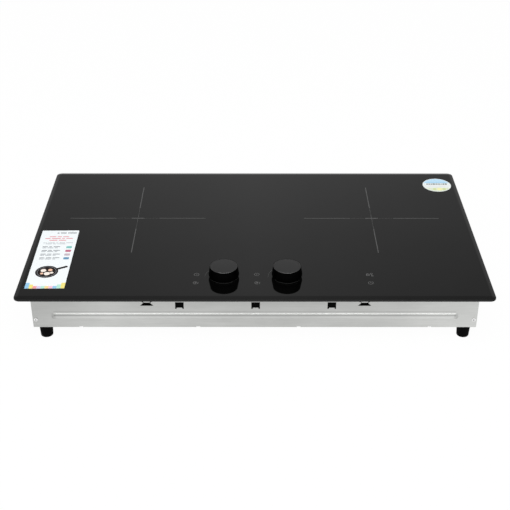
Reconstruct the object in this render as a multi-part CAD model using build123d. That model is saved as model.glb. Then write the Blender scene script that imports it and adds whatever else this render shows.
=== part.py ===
from build123d import *
import os
from math import cos, degrees, radians, sin, sqrt, tan

# Two-zone electric induction cooktop with magnetic knobs, in millimetres.
# Origin: centre of the footprint, on the surface that the feet stand on.
# +X to the user's right, +Y away from the user, +Z up.

# Driving dimensions: glass
glass_length = 591.0
glass_depth = 348.0
glass_thickness = 4.0
glass_corner_radius = 8.0
bevel_width = 6.0
bevel_drop = 1.5
overhang = 17.5            # glass rim outside the housing, on every side
seal_thickness = 1.0
seal_width = 10.0
seal_inset = 2.0           # from the housing's outer face
seal_corner_radius = 6.0

# Driving dimensions: housing
housing_height = 50.0      # tray underside to glass underside
sheet = 0.8
bend_radius = 0.8          # inside
flange = 20.0              # in-turned flanges of the side panels
rail_width = 14.0
rail_leg = 6.0
panel_gap = 0.05           # side panel to tray wall

# Pressed bead of the front wall and the side panels
bead_end_inset = 24.0
bead_low = 13.0            # above the tray underside
bead_high = 21.7
bead_proud = 1.3
bead_crest_round = 1.6      # outside
bead_root_round = 0.5       # outside
bead_corner_radius = 4.0
side_bead_end_inset = 44.0

# Snap windows (bow-tie) and catch windows (square) of the front wall
snap_spacing = 270.4
snap_middle = 0.9          # middle of the two windows, to the right of the wall's middle
snap_low = 17.2            # below the glass underside
snap_waist = 12.9
snap_high = 10.1
snap_width = 16.6
snap_waist_width = 8.4
hook_gap = 0.3             # hook edge to window edge
hook_flare = 0.8           # how much wider the hook gets, for each unit up
catch_pitch = 94.65
catch_offset = 0.85        # middle window, to the right of the wall's middle
catch_low = 21.8           # below the glass underside
catch_high = 12.0
catch_width = 10.7
catch_tongue_width = 7.3
catch_tongue_height = 1.75
catch_tongue_round = 0.8

# Darts pressed across the front bottom bend
dart_places = (-218.4, -71.2, 55.0, 219.5)
dart_width = 5.0
dart_leg = 2.3

# Vents
vent_width = 4.0
vent_height = 16.0
vent_pitch = 15.0
vent_first = 75.0
vent_count = 12
vent_centre = 17.0         # above the tray underside
grille_slot_width = 3.5
grille_pitch = 7.0
grille_radius = 25.0
grille_rib = 4.0

# Screws of the corners and feet
corner_screw_inset = 4.0
corner_screw_rise = 12.1   # above the tray underside
corner_screw_radius = 1.25
corner_head_radius = 2.6
corner_head_height = 1.3
corner_head_chamfer = 0.5
corner_screw_length = 6.0
hole_clearance = 0.1

foot_height = 19.0
foot_inset = 13.0
foot_top_radius = 8.7
foot_bottom_radius = 7.7
foot_edge_round = 1.0
foot_well_radius = 4.6
foot_well_depth = 12.0
foot_screw_radius = 2.0
foot_head_radius = 3.8
foot_head_height = 2.4
foot_screw_tail = 1.6      # past the nut
foot_nut_height = 3.2
foot_nut_flats = 7.0

# Cooking zones
zone_side_inset = 134.0    # zone centre to the glass edge
zone_rear_inset = 143.5
mica_thickness = 0.8
mica_radius = 91.0
mica_hole_radius = 8.0
winding_thickness = 4.8
winding_rings = ((26.0, 54.0), (60.0, 90.0))
winding_edge = 0.8
carrier_radius = 94.0
carrier_thickness = 1.5
carrier_lip_height = 4.0
carrier_lip_width = 1.5
ferrite_count = 8
ferrite_start = 22.0
ferrite_length = 62.0
ferrite_width = 14.0
ferrite_thickness = 4.0
pocket_gap = 0.2
pocket_wall = 1.2
pocket_lip = 0.4           # how far the pocket walls reach below a bar
sensor_radius = 7.0
sensor_flange_radius = 10.0
sensor_flange_thickness = 1.5
sensor_stem_radius = 3.5
sensor_stem_length = 3.0
sensor_gap = 0.3
spring_rise = 3.5
spring_length = 36.0
spring_width = 10.0
spring_strip = 0.5
spring_circle = 53.0
springs_per_coil = 4
shelf_thickness = 1.0
shelf_width = 190.0
shelf_depth = 190.0
shelf_foot = 8.0
shelf_screw_inset = 20.0
shelf_window = 60.0        # opening in each leg, for wires and air
shelf_slot_size = (36.0, 22.0)
shelf_slot_corner = 4.0
lead_radius = 1.5
lead_bend = 2.0
lead_circle = 19.5
lead_drop_circle = 30.0
lead_outer_circle = 86.0
lead_half_angle = 22.5
lead_gap = 0.1             # lead end to the winding
lead_drop = 0.75           # top of the run under the carrier, below its plate

# Power electronics, one set for each zone
board_thickness = 1.6
board_standoff = 8.0
standoff_flats = 6.0
board_hole_radius = 1.7
board_screw_radius = 1.5
board_screw_head = 2.8
board_screw_head_height = 1.8
board_screw_length = 6.0
board_hole_inset = 5.0
power_board_length = 170.0
power_board_depth = 166.0
sink_offset = 49.5         # outward from the zone centre
sink_width = 56.0
sink_depth = 140.0
sink_height = 21.0
sink_base = 4.0
sink_fin = 1.6
sink_fins = 9
sink_wall = 4.0
transistor_size = (5.0, 16.0, 20.0)
transistor_pitch = 36.0
film_capacitor_size = (20.0, 32.0, 19.0)
film_capacitor_offset = 61.5
film_capacitor_pitch = 42.0
component_chamfer = 1.0

# Mains filter between the zones
filter_board_length = 104.0
filter_board_depth = 112.0
filter_board_shift = 3.0   # behind the zone centres
choke_place = (-25.0, -24.0)   # from the board centre
choke_outer = 17.0
choke_inner = 8.0
choke_height = 14.0
choke_winding = 2.0
choke_winding_angle = 130.0
filter_capacitor_size = (14.0, 30.0, 18.0)
filter_capacitor_places = ((-30.0, 28.0), (0.0, 28.0), (30.0, 28.0), (28.0, -22.0))
terminal_rear_gap = 42.0   # block centre to the wall's outer face
terminal_size = (48.0, 20.0, 18.0)
terminal_poles = 4
terminal_pitch = 11.0
terminal_entry_radius = 2.4
terminal_well_radius = 3.0
terminal_well_depth = 6.0
terminal_entry_rise = 13.5 # above the tray floor
mains_wire_depth = 5.0     # into the terminal block
mains_wire_landing = 8.0   # in from the board edge
supply_wire_landing = 6.0
supply_wire_rise = 7.0
supply_wire_spread = 12.0

# Cable gland in the rear wall
gland_rise = 19.0          # above the tray underside
gland_bore_radius = 4.2
gland_neck_radius = 8.0
gland_flange_radius = 11.5
gland_flange_thickness = 3.0
gland_outer_length = 10.0
gland_inner_length = 12.0
gland_nose_radius = 7.0
gland_nut_flats = 22.0
gland_nut_height = 5.0

# Blowers
fan_side_gap = 30.0        # to the housing's outer faces
fan_front_gap = 8.0
fan_size = 80.0
fan_height = 27.0
fan_wall = 1.5
fan_corner_radius = 8.0
fan_cavity_radius = 35.0
fan_intake_radius = 24.5
fan_outlet_start = -5.0
fan_boss_radius = 5.0
fan_boss_height = 4.0
fan_boss_cap = 0.75        # over the shaft's end
impeller_radius = 31.0
impeller_inner_radius = 24.0
impeller_gap = 1.4         # to the floor and the roof of its housing
impeller_plate = 1.4
impeller_ring = 1.2
impeller_ring_width = 4.0
impeller_hub_radius = 10.0
impeller_hub_drop = 10.0
impeller_blades = 11
blade_thickness = 1.0
blade_sweep = 9.0          # degrees from the blade's root to its tip
blade_bow = 1.2
shaft_radius = 1.5
shaft_gap = 0.05
shaft_end_gap = 0.4
blade_tip_inset = 0.3
fan_lead_inset = 6.0
fan_lead_rise = 20.0
fan_lead_landing = 7.0     # in from the board edge

# Controls under the front of the glass
control_left = -108.0
control_right = 163.0
control_front_gap = 1.2    # behind the front wall
control_depth = 62.0
control_height = 20.0
control_drop = 2.5         # below the glass underside
control_wall = 1.6
control_leg = 7.0
control_leg_places = (-95.0, 26.0, 148.0)
control_board_drop = 9.4   # board top below the glass underside
control_post_radius = 2.5
control_post_inset = 5.0   # from the board's edges
control_board_gap = 0.4
sensor_chips = 3
sensor_chip_circle = 5.0
sensor_chip_size = 3.0
sensor_chip_height = 1.2
lug_gap = 0.3
lug_reach = 0.5            # how far the lug stops behind the wall's outer face
touch_columns = (-73.5, 2.8, 146.3)
touch_insets = (56.3, 36.5)    # from the glass's front edge
touch_pad_radius = 4.0
anchor_outer = 14.0
anchor_inner = 9.0
anchor_height = 5.0
guide_radius = 23.7
guide_width = 2.2
guide_from = 60.0
guide_to = 180.0
ribbon_width = 16.0
ribbon_thickness = 0.6
ribbon_bend = 4.0
ribbon_tail = 15.5         # length under the control board
ribbon_slot_gap = 1.0
ribbon_landing = 8.0       # behind the filter board's front edge
wire_radius = 1.3

# Knobs
knob_spacing = 79.4
control_middle = 0.6       # middle of the two knobs, to the right of the glass's middle
knob_front_inset = 52.3    # from the glass's front edge
knob_height = 15.3
knob_top_radius = 17.4
knob_wide_radius = 19.45   # before the ring is rounded
knob_wide_height = 4.0
knob_skirt_radius = 17.9
knob_waist_round = 5.0     # at the widest ring
knob_floor_gap = 0.4       # skirt above the glass
knob_wall = 2.0
knob_edge = 0.2
knob_pad_gap = 0.3         # glide disc to skirt
knob_pad_thickness = 1.6
knob_hub_radius = 5.0
knob_hub_gap = 0.05
knob_roof_gap = 0.4
knob_boss_wall = 2.0
knob_rim = 0.1            # flat rim round the cap
knob_cap_gap = 0.05
knob_cap_thickness = 1.2
knob_roof = 2.0
knob_boss_rise = 2.2
knob_magnet_outer = 13.0
knob_magnet_inner = 8.5
knob_magnet_height = 3.0

# Derived places
housing_length = glass_length - 2 * overhang
housing_depth = glass_depth - 2 * overhang
half_length = housing_length / 2
half_depth = housing_depth / 2
bead_half_length = half_length - bead_end_inset
side_bead_half_length = half_depth - side_bead_end_inset
zone_x = glass_length / 2 - zone_side_inset
zone_y = glass_depth / 2 - zone_rear_inset
knob_y = knob_front_inset - glass_depth / 2
fan_x = half_length - fan_side_gap - fan_size / 2
fan_y = fan_front_gap + fan_size / 2 - half_depth
sink_x = zone_x + sink_offset
filter_board_y = zone_y + filter_board_shift
terminal_y = half_depth - terminal_rear_gap
tray_z = foot_height
floor_z = tray_z + sheet
glass_z = tray_z + housing_height
glass_top_z = glass_z + glass_thickness
flange_z = glass_z - seal_thickness
wall_top_z = flange_z - sheet
panel_half_depth = half_depth - sheet - panel_gap
mica_z = glass_z - mica_thickness
winding_z = mica_z - winding_thickness
plate_z = winding_z - carrier_thickness
ferrite_z = plate_z - ferrite_thickness
shelf_z = ferrite_z - pocket_lip - spring_rise
board_z = floor_z + board_standoff
board_top_z = board_z + board_thickness
control_board_top_z = glass_z - control_board_drop
terminal_entry_z = floor_z + terminal_entry_rise
sides = {"left": -1, "right": 1}
knob_places = {side: (control_middle + sign * knob_spacing / 2, knob_y) for side, sign in sides.items()}

front_wall = Plane(origin=(0, -half_depth, 0), x_dir=(1, 0, 0), z_dir=(0, -1, 0))
rear_wall = Plane(origin=(0, half_depth, 0), x_dir=(-1, 0, 0), z_dir=(0, 1, 0))
centred_up = (Align.CENTER, Align.CENTER, Align.MIN)


def block(x_span, y_span, z_span):
    """Box between the given limits."""
    spans = (x_span, y_span, z_span)
    centre = [(low + high) / 2 for low, high in spans]
    size = [high - low for low, high in spans]
    return Pos(*centre) * Box(*size)


def rod(place, z_low, z_high, radius):
    """Upright cylinder between two heights."""
    return Pos(place[0], place[1], z_low) * Cylinder(radius, z_high - z_low, align=centred_up)


def hex_rod(place, z_low, z_high, flats):
    """Upright hexagonal bar, sized across its flats."""
    outline = RegularPolygon(flats / 2, 6, major_radius=False)
    return extrude(Pos(place[0], place[1], z_low) * outline, amount=z_high - z_low)


def tube_wire(points, bend, radius):
    """Round wire along straight runs joined by tangent arcs."""
    path = FilletPolyline(*points, radius=bend)
    start = Plane(origin=path @ 0, z_dir=path % 0)
    return sweep(start * Circle(radius), path=path)


def group(solids):
    """Separate solids of one node."""
    return Compound(children=list(solids))


def on_side(side, shape):
    """The right-hand piece, or its mirror image for the left."""
    if side == "left":
        return mirror(shape, about=Plane.YZ)
    return shape


# ---- Glass and its bond ----

def make_glass():
    edge = RectangleRounded(glass_length, glass_depth, glass_corner_radius)
    top = RectangleRounded(
        glass_length - 2 * bevel_width,
        glass_depth - 2 * bevel_width,
        glass_corner_radius - bevel_width,
    )
    bevel_z = glass_top_z - bevel_drop
    slab = extrude(Pos(0, 0, glass_z) * edge, amount=bevel_z - glass_z)
    bevel = loft([Pos(0, 0, bevel_z) * edge, Pos(0, 0, glass_top_z) * top], ruled=True)
    return slab + bevel


def make_seal():
    length = housing_length - 2 * seal_inset
    depth = housing_depth - 2 * seal_inset
    outline = RectangleRounded(length, depth, seal_corner_radius)
    opening = Rectangle(length - 2 * seal_width, depth - 2 * seal_width)
    return extrude(Pos(0, 0, flange_z) * (outline - opening), amount=seal_thickness)


# ---- Sheet-metal housing ----

def pressed_bead(wall, half_length, low, high):
    """Form of a bead pressed out of a wall, and the hollow behind it."""
    crease = sheet * (sqrt(2) - 1)
    length = 2 * half_length
    height = high - low
    centre = wall * Pos(0, tray_z + (low + high) / 2, 0)
    outline = centre * RectangleRounded(length, height, bead_corner_radius)
    form = extrude(outline, amount=bead_proud, taper=45)
    crest = form.faces().sort_by(Axis(wall.origin, wall.z_dir))[-1]
    form = fillet(crest.edges(), bead_crest_round)
    inner = centre * Pos(0, 0, -sheet) * RectangleRounded(
        length - 2 * crease, height - 2 * crease, bead_corner_radius - crease
    )
    hollow = extrude(inner, amount=bead_proud, taper=45)
    crest = hollow.faces().sort_by(Axis(wall.origin, wall.z_dir))[-1]
    hollow = fillet(crest.edges(), bead_crest_round - sheet)
    return form, hollow


def press(sheet_wall, plane, half_length):
    """A sheet-metal wall with a bead pressed out of it, rounded where it leaves the wall."""
    form, hollow = pressed_bead(plane, half_length, bead_low, bead_high)
    out = Axis(plane.origin, plane.z_dir)
    sheet_wall = sheet_wall + form - hollow
    for depth, radius in ((0, bead_root_round), (-sheet, bead_root_round + sheet)):
        roots = sheet_wall.edges().filter_by_position(out, depth - sheet / 4, depth + sheet / 4)
        roots = roots.filter_by_position(Axis.Z, tray_z + bead_low - sheet, tray_z + bead_high + sheet)
        sheet_wall = fillet(roots, radius)
    return sheet_wall


def snap_window():
    low = glass_z - snap_low
    waist = glass_z - snap_waist
    high = glass_z - snap_high
    return Polygon(
        (-snap_width / 2, low), (snap_width / 2, low), (snap_waist_width / 2, waist),
        (snap_width / 2, high), (-snap_width / 2, high), (-snap_waist_width / 2, waist),
        align=None,
    )


def catch_window():
    low = glass_z - catch_low
    high = glass_z - catch_high
    opening = Pos(0, (low + high) / 2) * Rectangle(catch_width, high - low)
    tongue = Pos(0, low) * Rectangle(catch_tongue_width, 2 * catch_tongue_height)
    tongue = fillet(tongue.vertices(), catch_tongue_round)
    return opening - tongue


def grille(centre_x, centre_y):
    """Slots of an intake grille, clipped to a circle, with a rib across the middle."""
    slots = []
    reach = int(grille_radius // grille_pitch)
    for step in range(-reach, reach + 1):
        across = step * grille_pitch
        half = sqrt(grille_radius ** 2 - across ** 2)
        length = half - grille_rib / 2
        for direction in (-1, 1):
            middle = direction * (grille_rib + length) / 2
            place = Pos(centre_x + across, centre_y + middle) * Rot(0, 0, 90)
            slots.append(place * SlotOverall(length, grille_slot_width))
    return slots


def foot_places():
    x = half_length - foot_inset
    y = half_depth - foot_inset
    return {
        "front_left": (-x, -y), "front_right": (x, -y),
        "rear_left": (-x, y), "rear_right": (x, y),
    }


def make_tray():
    height = wall_top_z - tray_z
    outer_bend = bend_radius + sheet
    outside = Plane.YZ * Pos(0, tray_z + height / 2) * Rectangle(housing_depth, height)
    outside = fillet(outside.vertices().group_by(Axis.Z)[0], outer_bend)
    inside = Plane.YZ * Pos(0, floor_z + height / 2) * Rectangle(housing_depth - 2 * sheet, height)
    inside = fillet(inside.vertices().group_by(Axis.Z)[0], bend_radius)
    tray = extrude(outside - inside, amount=half_length, both=True)

    tray = press(tray, front_wall, bead_half_length)

    # A dart folds the bend in at 45 degrees; the sheet keeps its thickness behind it.
    inner_leg = dart_leg + sheet * sqrt(2)
    corner = Plane(origin=(0, -half_depth, tray_z), x_dir=(0, 1, 0), z_dir=(1, 0, 0))
    near = sheet / 2
    web = Polygon((near, near), (inner_leg - near, near), (near, inner_leg - near), align=None)
    fold = Polygon((-sheet, -sheet), (dart_leg + sheet, -sheet), (-sheet, dart_leg + sheet), align=None)
    for place in dart_places:
        tray += Pos(place, 0, 0) * extrude(corner * web, amount=dart_width / 2 + sheet, both=True)
        tray -= Pos(place, 0, 0) * extrude(corner * fold, amount=dart_width / 2, both=True)

    cuts = []
    for wall in (front_wall, rear_wall):
        for side in sides.values():
            snap = wall * Pos(snap_middle + side * snap_spacing / 2, 0) * snap_window()
            cuts.append(extrude(snap, amount=sheet * 2, both=True))
            screw = Pos(side * (half_length - corner_screw_inset), tray_z + corner_screw_rise)
            hole = Circle(corner_screw_radius + hole_clearance)
            cuts.append(extrude(wall * screw * hole, amount=sheet * 2, both=True))
    for step in (-1, 0, 1):
        place = Pos(step * catch_pitch + catch_offset, 0)
        cuts.append(extrude(front_wall * place * catch_window(), amount=sheet * 2, both=True))
    for side in sides.values():
        for index in range(vent_count):
            place = Pos(side * (vent_first + index * vent_pitch), tray_z + vent_centre)
            slot = Rot(0, 0, 90) * SlotOverall(vent_height, vent_width)
            cuts.append(extrude(rear_wall * place * slot, amount=sheet * 2, both=True))
        for slot in grille(side * fan_x, fan_y):
            cuts.append(extrude(Pos(0, 0, tray_z) * slot, amount=sheet * 2, both=True))
    gland_hole = Pos(0, tray_z + gland_rise) * Circle(gland_neck_radius + hole_clearance)
    cuts.append(extrude(rear_wall * gland_hole, amount=sheet * 2, both=True))
    for place in foot_places().values():
        cuts.append(rod(place, tray_z - sheet, floor_z + sheet, foot_screw_radius + hole_clearance))
    shelf_hole = board_screw_radius + hole_clearance
    for side in sides.values():
        for x, y in shelf_screw_places():
            cuts.append(rod((side * x, y), tray_z - sheet, floor_z + sheet, shelf_hole))
    return tray - cuts


def make_side_panel():
    """Right-hand panel: a shallow pan with flanges all round, open towards the inside."""
    inner_x = half_length - flange
    pan = block((inner_x, half_length), (-panel_half_depth, panel_half_depth), (floor_z, flange_z))
    outer_face = pan.faces().sort_by(Axis.X)[-1]
    pan = fillet(outer_face.edges() + pan.edges().filter_by(Axis.X), bend_radius + sheet)
    reach = panel_half_depth - sheet
    hollow = block((inner_x - sheet, half_length - sheet), (-reach, reach), (floor_z + sheet, wall_top_z))
    inner_face = hollow.faces().sort_by(Axis.X)[-1]
    hollow = fillet(inner_face.edges() + hollow.edges().filter_by(Axis.X), bend_radius)
    panel = pan - hollow

    wall = Plane(origin=(half_length, 0, 0), x_dir=(0, 1, 0), z_dir=(1, 0, 0))
    panel = press(panel, wall, side_bead_half_length)

    screw_x = half_length - corner_screw_inset
    screw_z = tray_z + corner_screw_rise
    drill = Pos(screw_x, 0, screw_z) * Rot(90, 0, 0) * Cylinder(
        corner_screw_radius + hole_clearance, housing_depth
    )
    panel -= drill
    for name, place in foot_places().items():
        if name.endswith("right"):
            panel -= rod(place, tray_z, floor_z + 2 * sheet, foot_screw_radius + hole_clearance)
    return panel


def make_rail():
    """Front rail: flange under the glass, short leg inside the wall, two snap hooks."""
    half = half_length - flange - hook_gap
    outer_y = -half_depth
    leg_y = outer_y + sheet + 2 * panel_gap
    rail = block((-half, half), (outer_y, outer_y + rail_width), (wall_top_z, flange_z))
    rail += block((-half, half), (leg_y, leg_y + sheet), (wall_top_z - rail_leg, flange_z))
    high = glass_z - snap_high
    low = glass_z - snap_waist + hook_gap
    step_z = high - hook_gap
    hook_y = leg_y - sheet
    drop = sheet * tan(radians(22.5))
    strip = Polygon(
        (leg_y, wall_top_z - rail_leg), (leg_y, step_z), (hook_y, step_z - sheet), (hook_y, low),
        (hook_y + sheet, low), (hook_y + sheet, step_z - sheet - drop),
        (leg_y + sheet, step_z - drop), (leg_y + sheet, wall_top_z - rail_leg),
        align=None,
    )
    tip = snap_waist_width / 2 - 2 * hook_gap
    root = tip + (wall_top_z - rail_leg - low) * hook_flare
    taper = Polygon((-tip, low), (tip, low), (root, wall_top_z - rail_leg), (-root, wall_top_z - rail_leg),
                    align=None)
    hook = extrude(Plane.YZ * strip, amount=2 * root, both=True)
    hook &= extrude(front_wall * taper, amount=3 * sheet, both=True)
    for side in sides.values():
        rail += Pos(snap_middle + side * snap_spacing / 2, 0, 0) * hook
    return rail


def make_corner_screws():
    screws = []
    for wall in (front_wall, rear_wall):
        for side in sides.values():
            place = Pos(side * (half_length - corner_screw_inset), tray_z + corner_screw_rise)
            head = extrude(wall * place * Circle(corner_head_radius), amount=corner_head_height)
            outer_face = head.faces().sort_by(Axis.Y)[0 if wall is front_wall else -1]
            head = chamfer(outer_face.edges(), corner_head_chamfer)
            shank = extrude(wall * place * Circle(corner_screw_radius), amount=-corner_screw_length)
            screws.append(head + shank)
    return group(screws)


# ---- Feet ----

def make_foot(place):
    hole = foot_screw_radius + hole_clearance
    profile = Polygon(
        (foot_well_radius, 0), (foot_bottom_radius, 0), (foot_top_radius, foot_height),
        (hole, foot_height), (hole, foot_well_depth), (foot_well_radius, foot_well_depth),
        align=None,
    )
    corner = profile.vertices().sort_by_distance((foot_bottom_radius, 0))[0]
    profile = fillet(corner, foot_edge_round)
    return Pos(place[0], place[1], 0) * revolve(Plane.XZ * profile, axis=Axis.Z)


def make_foot_screws():
    nut_top = floor_z + sheet + foot_nut_height
    screws = []
    for place in foot_places().values():
        head = rod(place, foot_well_depth - foot_head_height, foot_well_depth, foot_head_radius)
        shank = rod(place, foot_well_depth, nut_top + foot_screw_tail, foot_screw_radius)
        screws.append(head + shank)
    return group(screws)


def make_foot_nuts():
    low = floor_z + sheet
    nuts = []
    for place in foot_places().values():
        nut = hex_rod(place, low, low + foot_nut_height, foot_nut_flats)
        nuts.append(nut - rod(place, low, low + foot_nut_height, foot_screw_radius + hole_clearance))
    return group(nuts)


# ---- Coil assemblies ----

def shelf_screw_places():
    across = shelf_width / 2 - shelf_thickness - shelf_foot / 2
    along = shelf_depth / 2 - shelf_screw_inset
    return [(zone_x + i * across, zone_y + j * along) for i in (-1, 1) for j in (-1, 1)]


def lead_places():
    angles = [radians(-90 + turn * lead_half_angle) for turn in (-1, 1)]
    return [(cos(angle), sin(angle)) for angle in angles]


def make_shelf():
    """Right-hand aluminium shelf: a tunnel over the power board that carries the coil."""
    height = shelf_z - floor_z
    outside = Pos(zone_x, floor_z + height / 2) * Rectangle(shelf_width, height)
    outside = fillet(outside.vertices().group_by(Axis.Y)[-1], bend_radius + shelf_thickness)
    inner_height = height - shelf_thickness
    inner_width = shelf_width - 2 * shelf_thickness
    inside = Pos(zone_x, floor_z + inner_height / 2) * Rectangle(inner_width, inner_height)
    inside = fillet(inside.vertices().group_by(Axis.Y)[-1], bend_radius)
    profile = outside - inside
    for turn in (-1, 1):
        middle = zone_x + turn * (inner_width - shelf_foot) / 2
        profile += Pos(middle, floor_z + shelf_thickness / 2) * Rectangle(shelf_foot, shelf_thickness)
    shelf = Pos(0, zone_y, 0) * extrude(Plane.XZ * profile, amount=shelf_depth / 2, both=True)

    window = block(
        (zone_x - shelf_width, zone_x + shelf_width),
        (zone_y - shelf_window / 2, zone_y + shelf_window / 2),
        (floor_z + board_standoff, shelf_z - board_standoff),
    )
    shelf -= window
    drop_y = (lead_circle + lead_drop_circle) / 2 * cos(radians(lead_half_angle))
    slot = Pos(zone_x, zone_y - drop_y, shelf_z) * RectangleRounded(*shelf_slot_size, shelf_slot_corner)
    shelf -= extrude(slot, amount=-2 * shelf_thickness)
    for place in shelf_screw_places():
        shelf -= rod(place, floor_z, floor_z + shelf_thickness, board_screw_radius + hole_clearance)
    return shelf


def make_shelf_screws():
    screws = []
    seat = floor_z + shelf_thickness
    for side in sides.values():
        for x, y in shelf_screw_places():
            head = rod((side * x, y), seat, seat + board_screw_head_height, board_screw_head)
            screws.append(head + rod((side * x, y), tray_z, seat, board_screw_radius))
    return group(screws)


def make_carrier_springs():
    rise = spring_rise
    half = spring_length / 2
    inner_half = half - 2 * spring_strip
    over = ThreePointArc((-half, 0), (0, rise), (half, 0))
    under = ThreePointArc((inner_half, 0), (0, rise - spring_strip), (-inner_half, 0))
    ends = (Line((half, 0), (inner_half, 0)), Line((-inner_half, 0), (-half, 0)))
    arch = Rot(0, 0, 90) * extrude(
        Plane.XZ * make_face([over, ends[0], under, ends[1]]), amount=spring_width / 2, both=True
    )
    springs = []
    for side in sides.values():
        for index in range(springs_per_coil):
            turn = Rot(0, 0, (index + 0.5) * 360 / springs_per_coil)
            springs.append(Pos(side * zone_x, zone_y, shelf_z) * turn * Pos(spring_circle, 0, 0) * arch)
    return group(springs)


def ferrite_turns():
    return [Rot(0, 0, index * 360 / ferrite_count) for index in range(ferrite_count)]


def make_carrier():
    place = (zone_x, zone_y)
    lip_z = winding_z + carrier_lip_height
    carrier = rod(place, plate_z, lip_z, carrier_radius)
    carrier -= rod(place, winding_z, lip_z, carrier_radius - carrier_lip_width)
    start = ferrite_start - pocket_gap
    end = ferrite_start + ferrite_length + pocket_gap
    half = ferrite_width / 2 + pocket_gap
    low = ferrite_z - pocket_lip
    outer_half = half + pocket_wall
    wall = block((start - pocket_wall, end + pocket_wall), (-outer_half, outer_half), (low, plate_z))
    pocket = block((start, end), (-half, half), (low, plate_z))
    centre = Pos(zone_x, zone_y, 0)
    carrier += [centre * turn * wall for turn in ferrite_turns()]
    carrier -= [centre * turn * pocket for turn in ferrite_turns()]
    carrier -= rod(place, plate_z, winding_z, sensor_radius + sensor_gap)
    inner, outer = lead_places()
    hole = lead_radius + sensor_gap
    for (along, across), circle in ((inner, lead_outer_circle), (outer, lead_circle)):
        spot = (zone_x + circle * along, zone_y + circle * across)
        carrier -= rod(spot, plate_z, winding_z, hole)
    return carrier


def make_ferrites():
    bar = block(
        (ferrite_start, ferrite_start + ferrite_length),
        (-ferrite_width / 2, ferrite_width / 2),
        (ferrite_z, plate_z),
    )
    return group(
        Pos(side * zone_x, zone_y, 0) * turn * bar for side in sides.values() for turn in ferrite_turns()
    )


def make_winding():
    """Litz winding in two groups of turns, joined by the wire that crosses between them."""
    place = (zone_x, zone_y)
    winding = Part()
    for inner, outer in winding_rings:
        ring = rod(place, winding_z, mica_z, outer) - rod(place, winding_z, mica_z, inner)
        winding += chamfer(ring.edges().filter_by(GeomType.CIRCLE).group_by(Axis.Z)[-1], winding_edge)
    cross_start = winding_rings[0][1] - winding_edge
    cross_end = winding_rings[1][0] + winding_edge
    strand = 2 * lead_radius
    cross = block((cross_start, cross_end), (-strand, strand), (winding_z, winding_z + strand))
    winding += Pos(zone_x, zone_y, 0) * cross
    return winding


def make_micas():
    sheets = []
    for side in sides.values():
        place = (side * zone_x, zone_y)
        hole = rod(place, mica_z, glass_z, mica_hole_radius)
        sheets.append(rod(place, mica_z, glass_z, mica_radius) - hole)
    return group(sheets)


def make_sensor():
    """Temperature sensor: silicone cap pressed to the glass, flange under the carrier."""
    place = (zone_x, zone_y)
    flange_low = plate_z - sensor_flange_thickness
    cap = fillet(rod(place, plate_z, glass_z, sensor_radius).edges().group_by(Axis.Z)[-1], sensor_gap)
    stem = rod(place, flange_low - sensor_stem_length, flange_low, sensor_stem_radius)
    return cap + rod(place, flange_low, plate_z, sensor_flange_radius) + stem


def make_coil_leads():
    leads = []
    (left_x, left_y), (right_x, right_y) = lead_places()
    middle_z = (winding_z + mica_z) / 2
    run_z = plate_z - lead_radius - lead_drop
    inner_circle = winding_rings[0][0] - lead_gap
    for side in sides.values():
        centre = Vector(side * zone_x, zone_y, 0)

        def spot(direction, circle, height):
            return centre + Vector(side * direction[0] * circle, direction[1] * circle, height)

        inner = (right_x, right_y)
        outer = (left_x, left_y)
        leads.append(tube_wire(
            [spot(inner, inner_circle, middle_z), spot(inner, lead_circle, middle_z),
             spot(inner, lead_circle, board_top_z)],
            lead_bend, lead_radius,
        ))
        leads.append(tube_wire(
            [spot(outer, lead_outer_circle, winding_z - lead_gap), spot(outer, lead_outer_circle, run_z),
             spot(outer, lead_drop_circle, run_z), spot(outer, lead_drop_circle, board_top_z)],
            lead_bend, lead_radius,
        ))
    return group(leads)


# ---- Power electronics ----

def corners(centre, length, depth, inset):
    x = length / 2 - inset
    y = depth / 2 - inset
    return [(centre[0] + i * x, centre[1] + j * y) for i in (-1, 1) for j in (-1, 1)]


def power_board_corners(side):
    centre = (sides[side] * zone_x, zone_y)
    return corners(centre, power_board_length, power_board_depth, board_hole_inset)


def filter_board_corners():
    return corners((0, filter_board_y), filter_board_length, filter_board_depth, board_hole_inset)


def all_board_corners():
    return power_board_corners("left") + power_board_corners("right") + filter_board_corners()


def make_board(centre, length, depth, holes):
    board = Pos(centre[0], centre[1], board_z) * Box(length, depth, board_thickness, align=centred_up)
    return board - [rod(place, board_z, board_top_z, board_hole_radius) for place in holes]


def make_standoffs():
    posts = []
    for place in all_board_corners():
        post = hex_rod(place, floor_z, board_z, standoff_flats)
        posts.append(post - rod(place, floor_z + sheet, board_z, board_screw_radius + shaft_gap))
    return group(posts)


def make_board_screws():
    screws = []
    for place in all_board_corners():
        head = rod(place, board_top_z, board_top_z + board_screw_head_height, board_screw_head)
        screws.append(head + rod(place, board_top_z - board_screw_length, board_top_z, board_screw_radius))
    return group(screws)


def make_sink():
    """Right-hand heat sink: comb extrusion with a wall for the power transistors."""
    left = sink_x - sink_width / 2
    profile = Pos(sink_x, board_top_z + sink_base / 2) * Rectangle(sink_width, sink_base)
    middle_z = board_top_z + sink_height / 2
    profile += Pos(left + sink_wall / 2, middle_z) * Rectangle(sink_wall, sink_height)
    pitch = (sink_width - sink_wall) / sink_fins
    for index in range(1, sink_fins + 1):
        fin_x = left + sink_wall + index * pitch - sink_fin / 2
        profile += Pos(fin_x, middle_z) * Rectangle(sink_fin, sink_height)
    return Pos(0, zone_y, 0) * extrude(Plane.XZ * profile, amount=sink_depth / 2, both=True)


def component(x, y, size):
    """Encapsulated box on a board, with chamfered top edges."""
    body = Pos(x, y, board_top_z) * Box(*size, align=centred_up)
    return chamfer(body.faces().sort_by(Axis.Z)[-1].edges(), component_chamfer)


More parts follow.
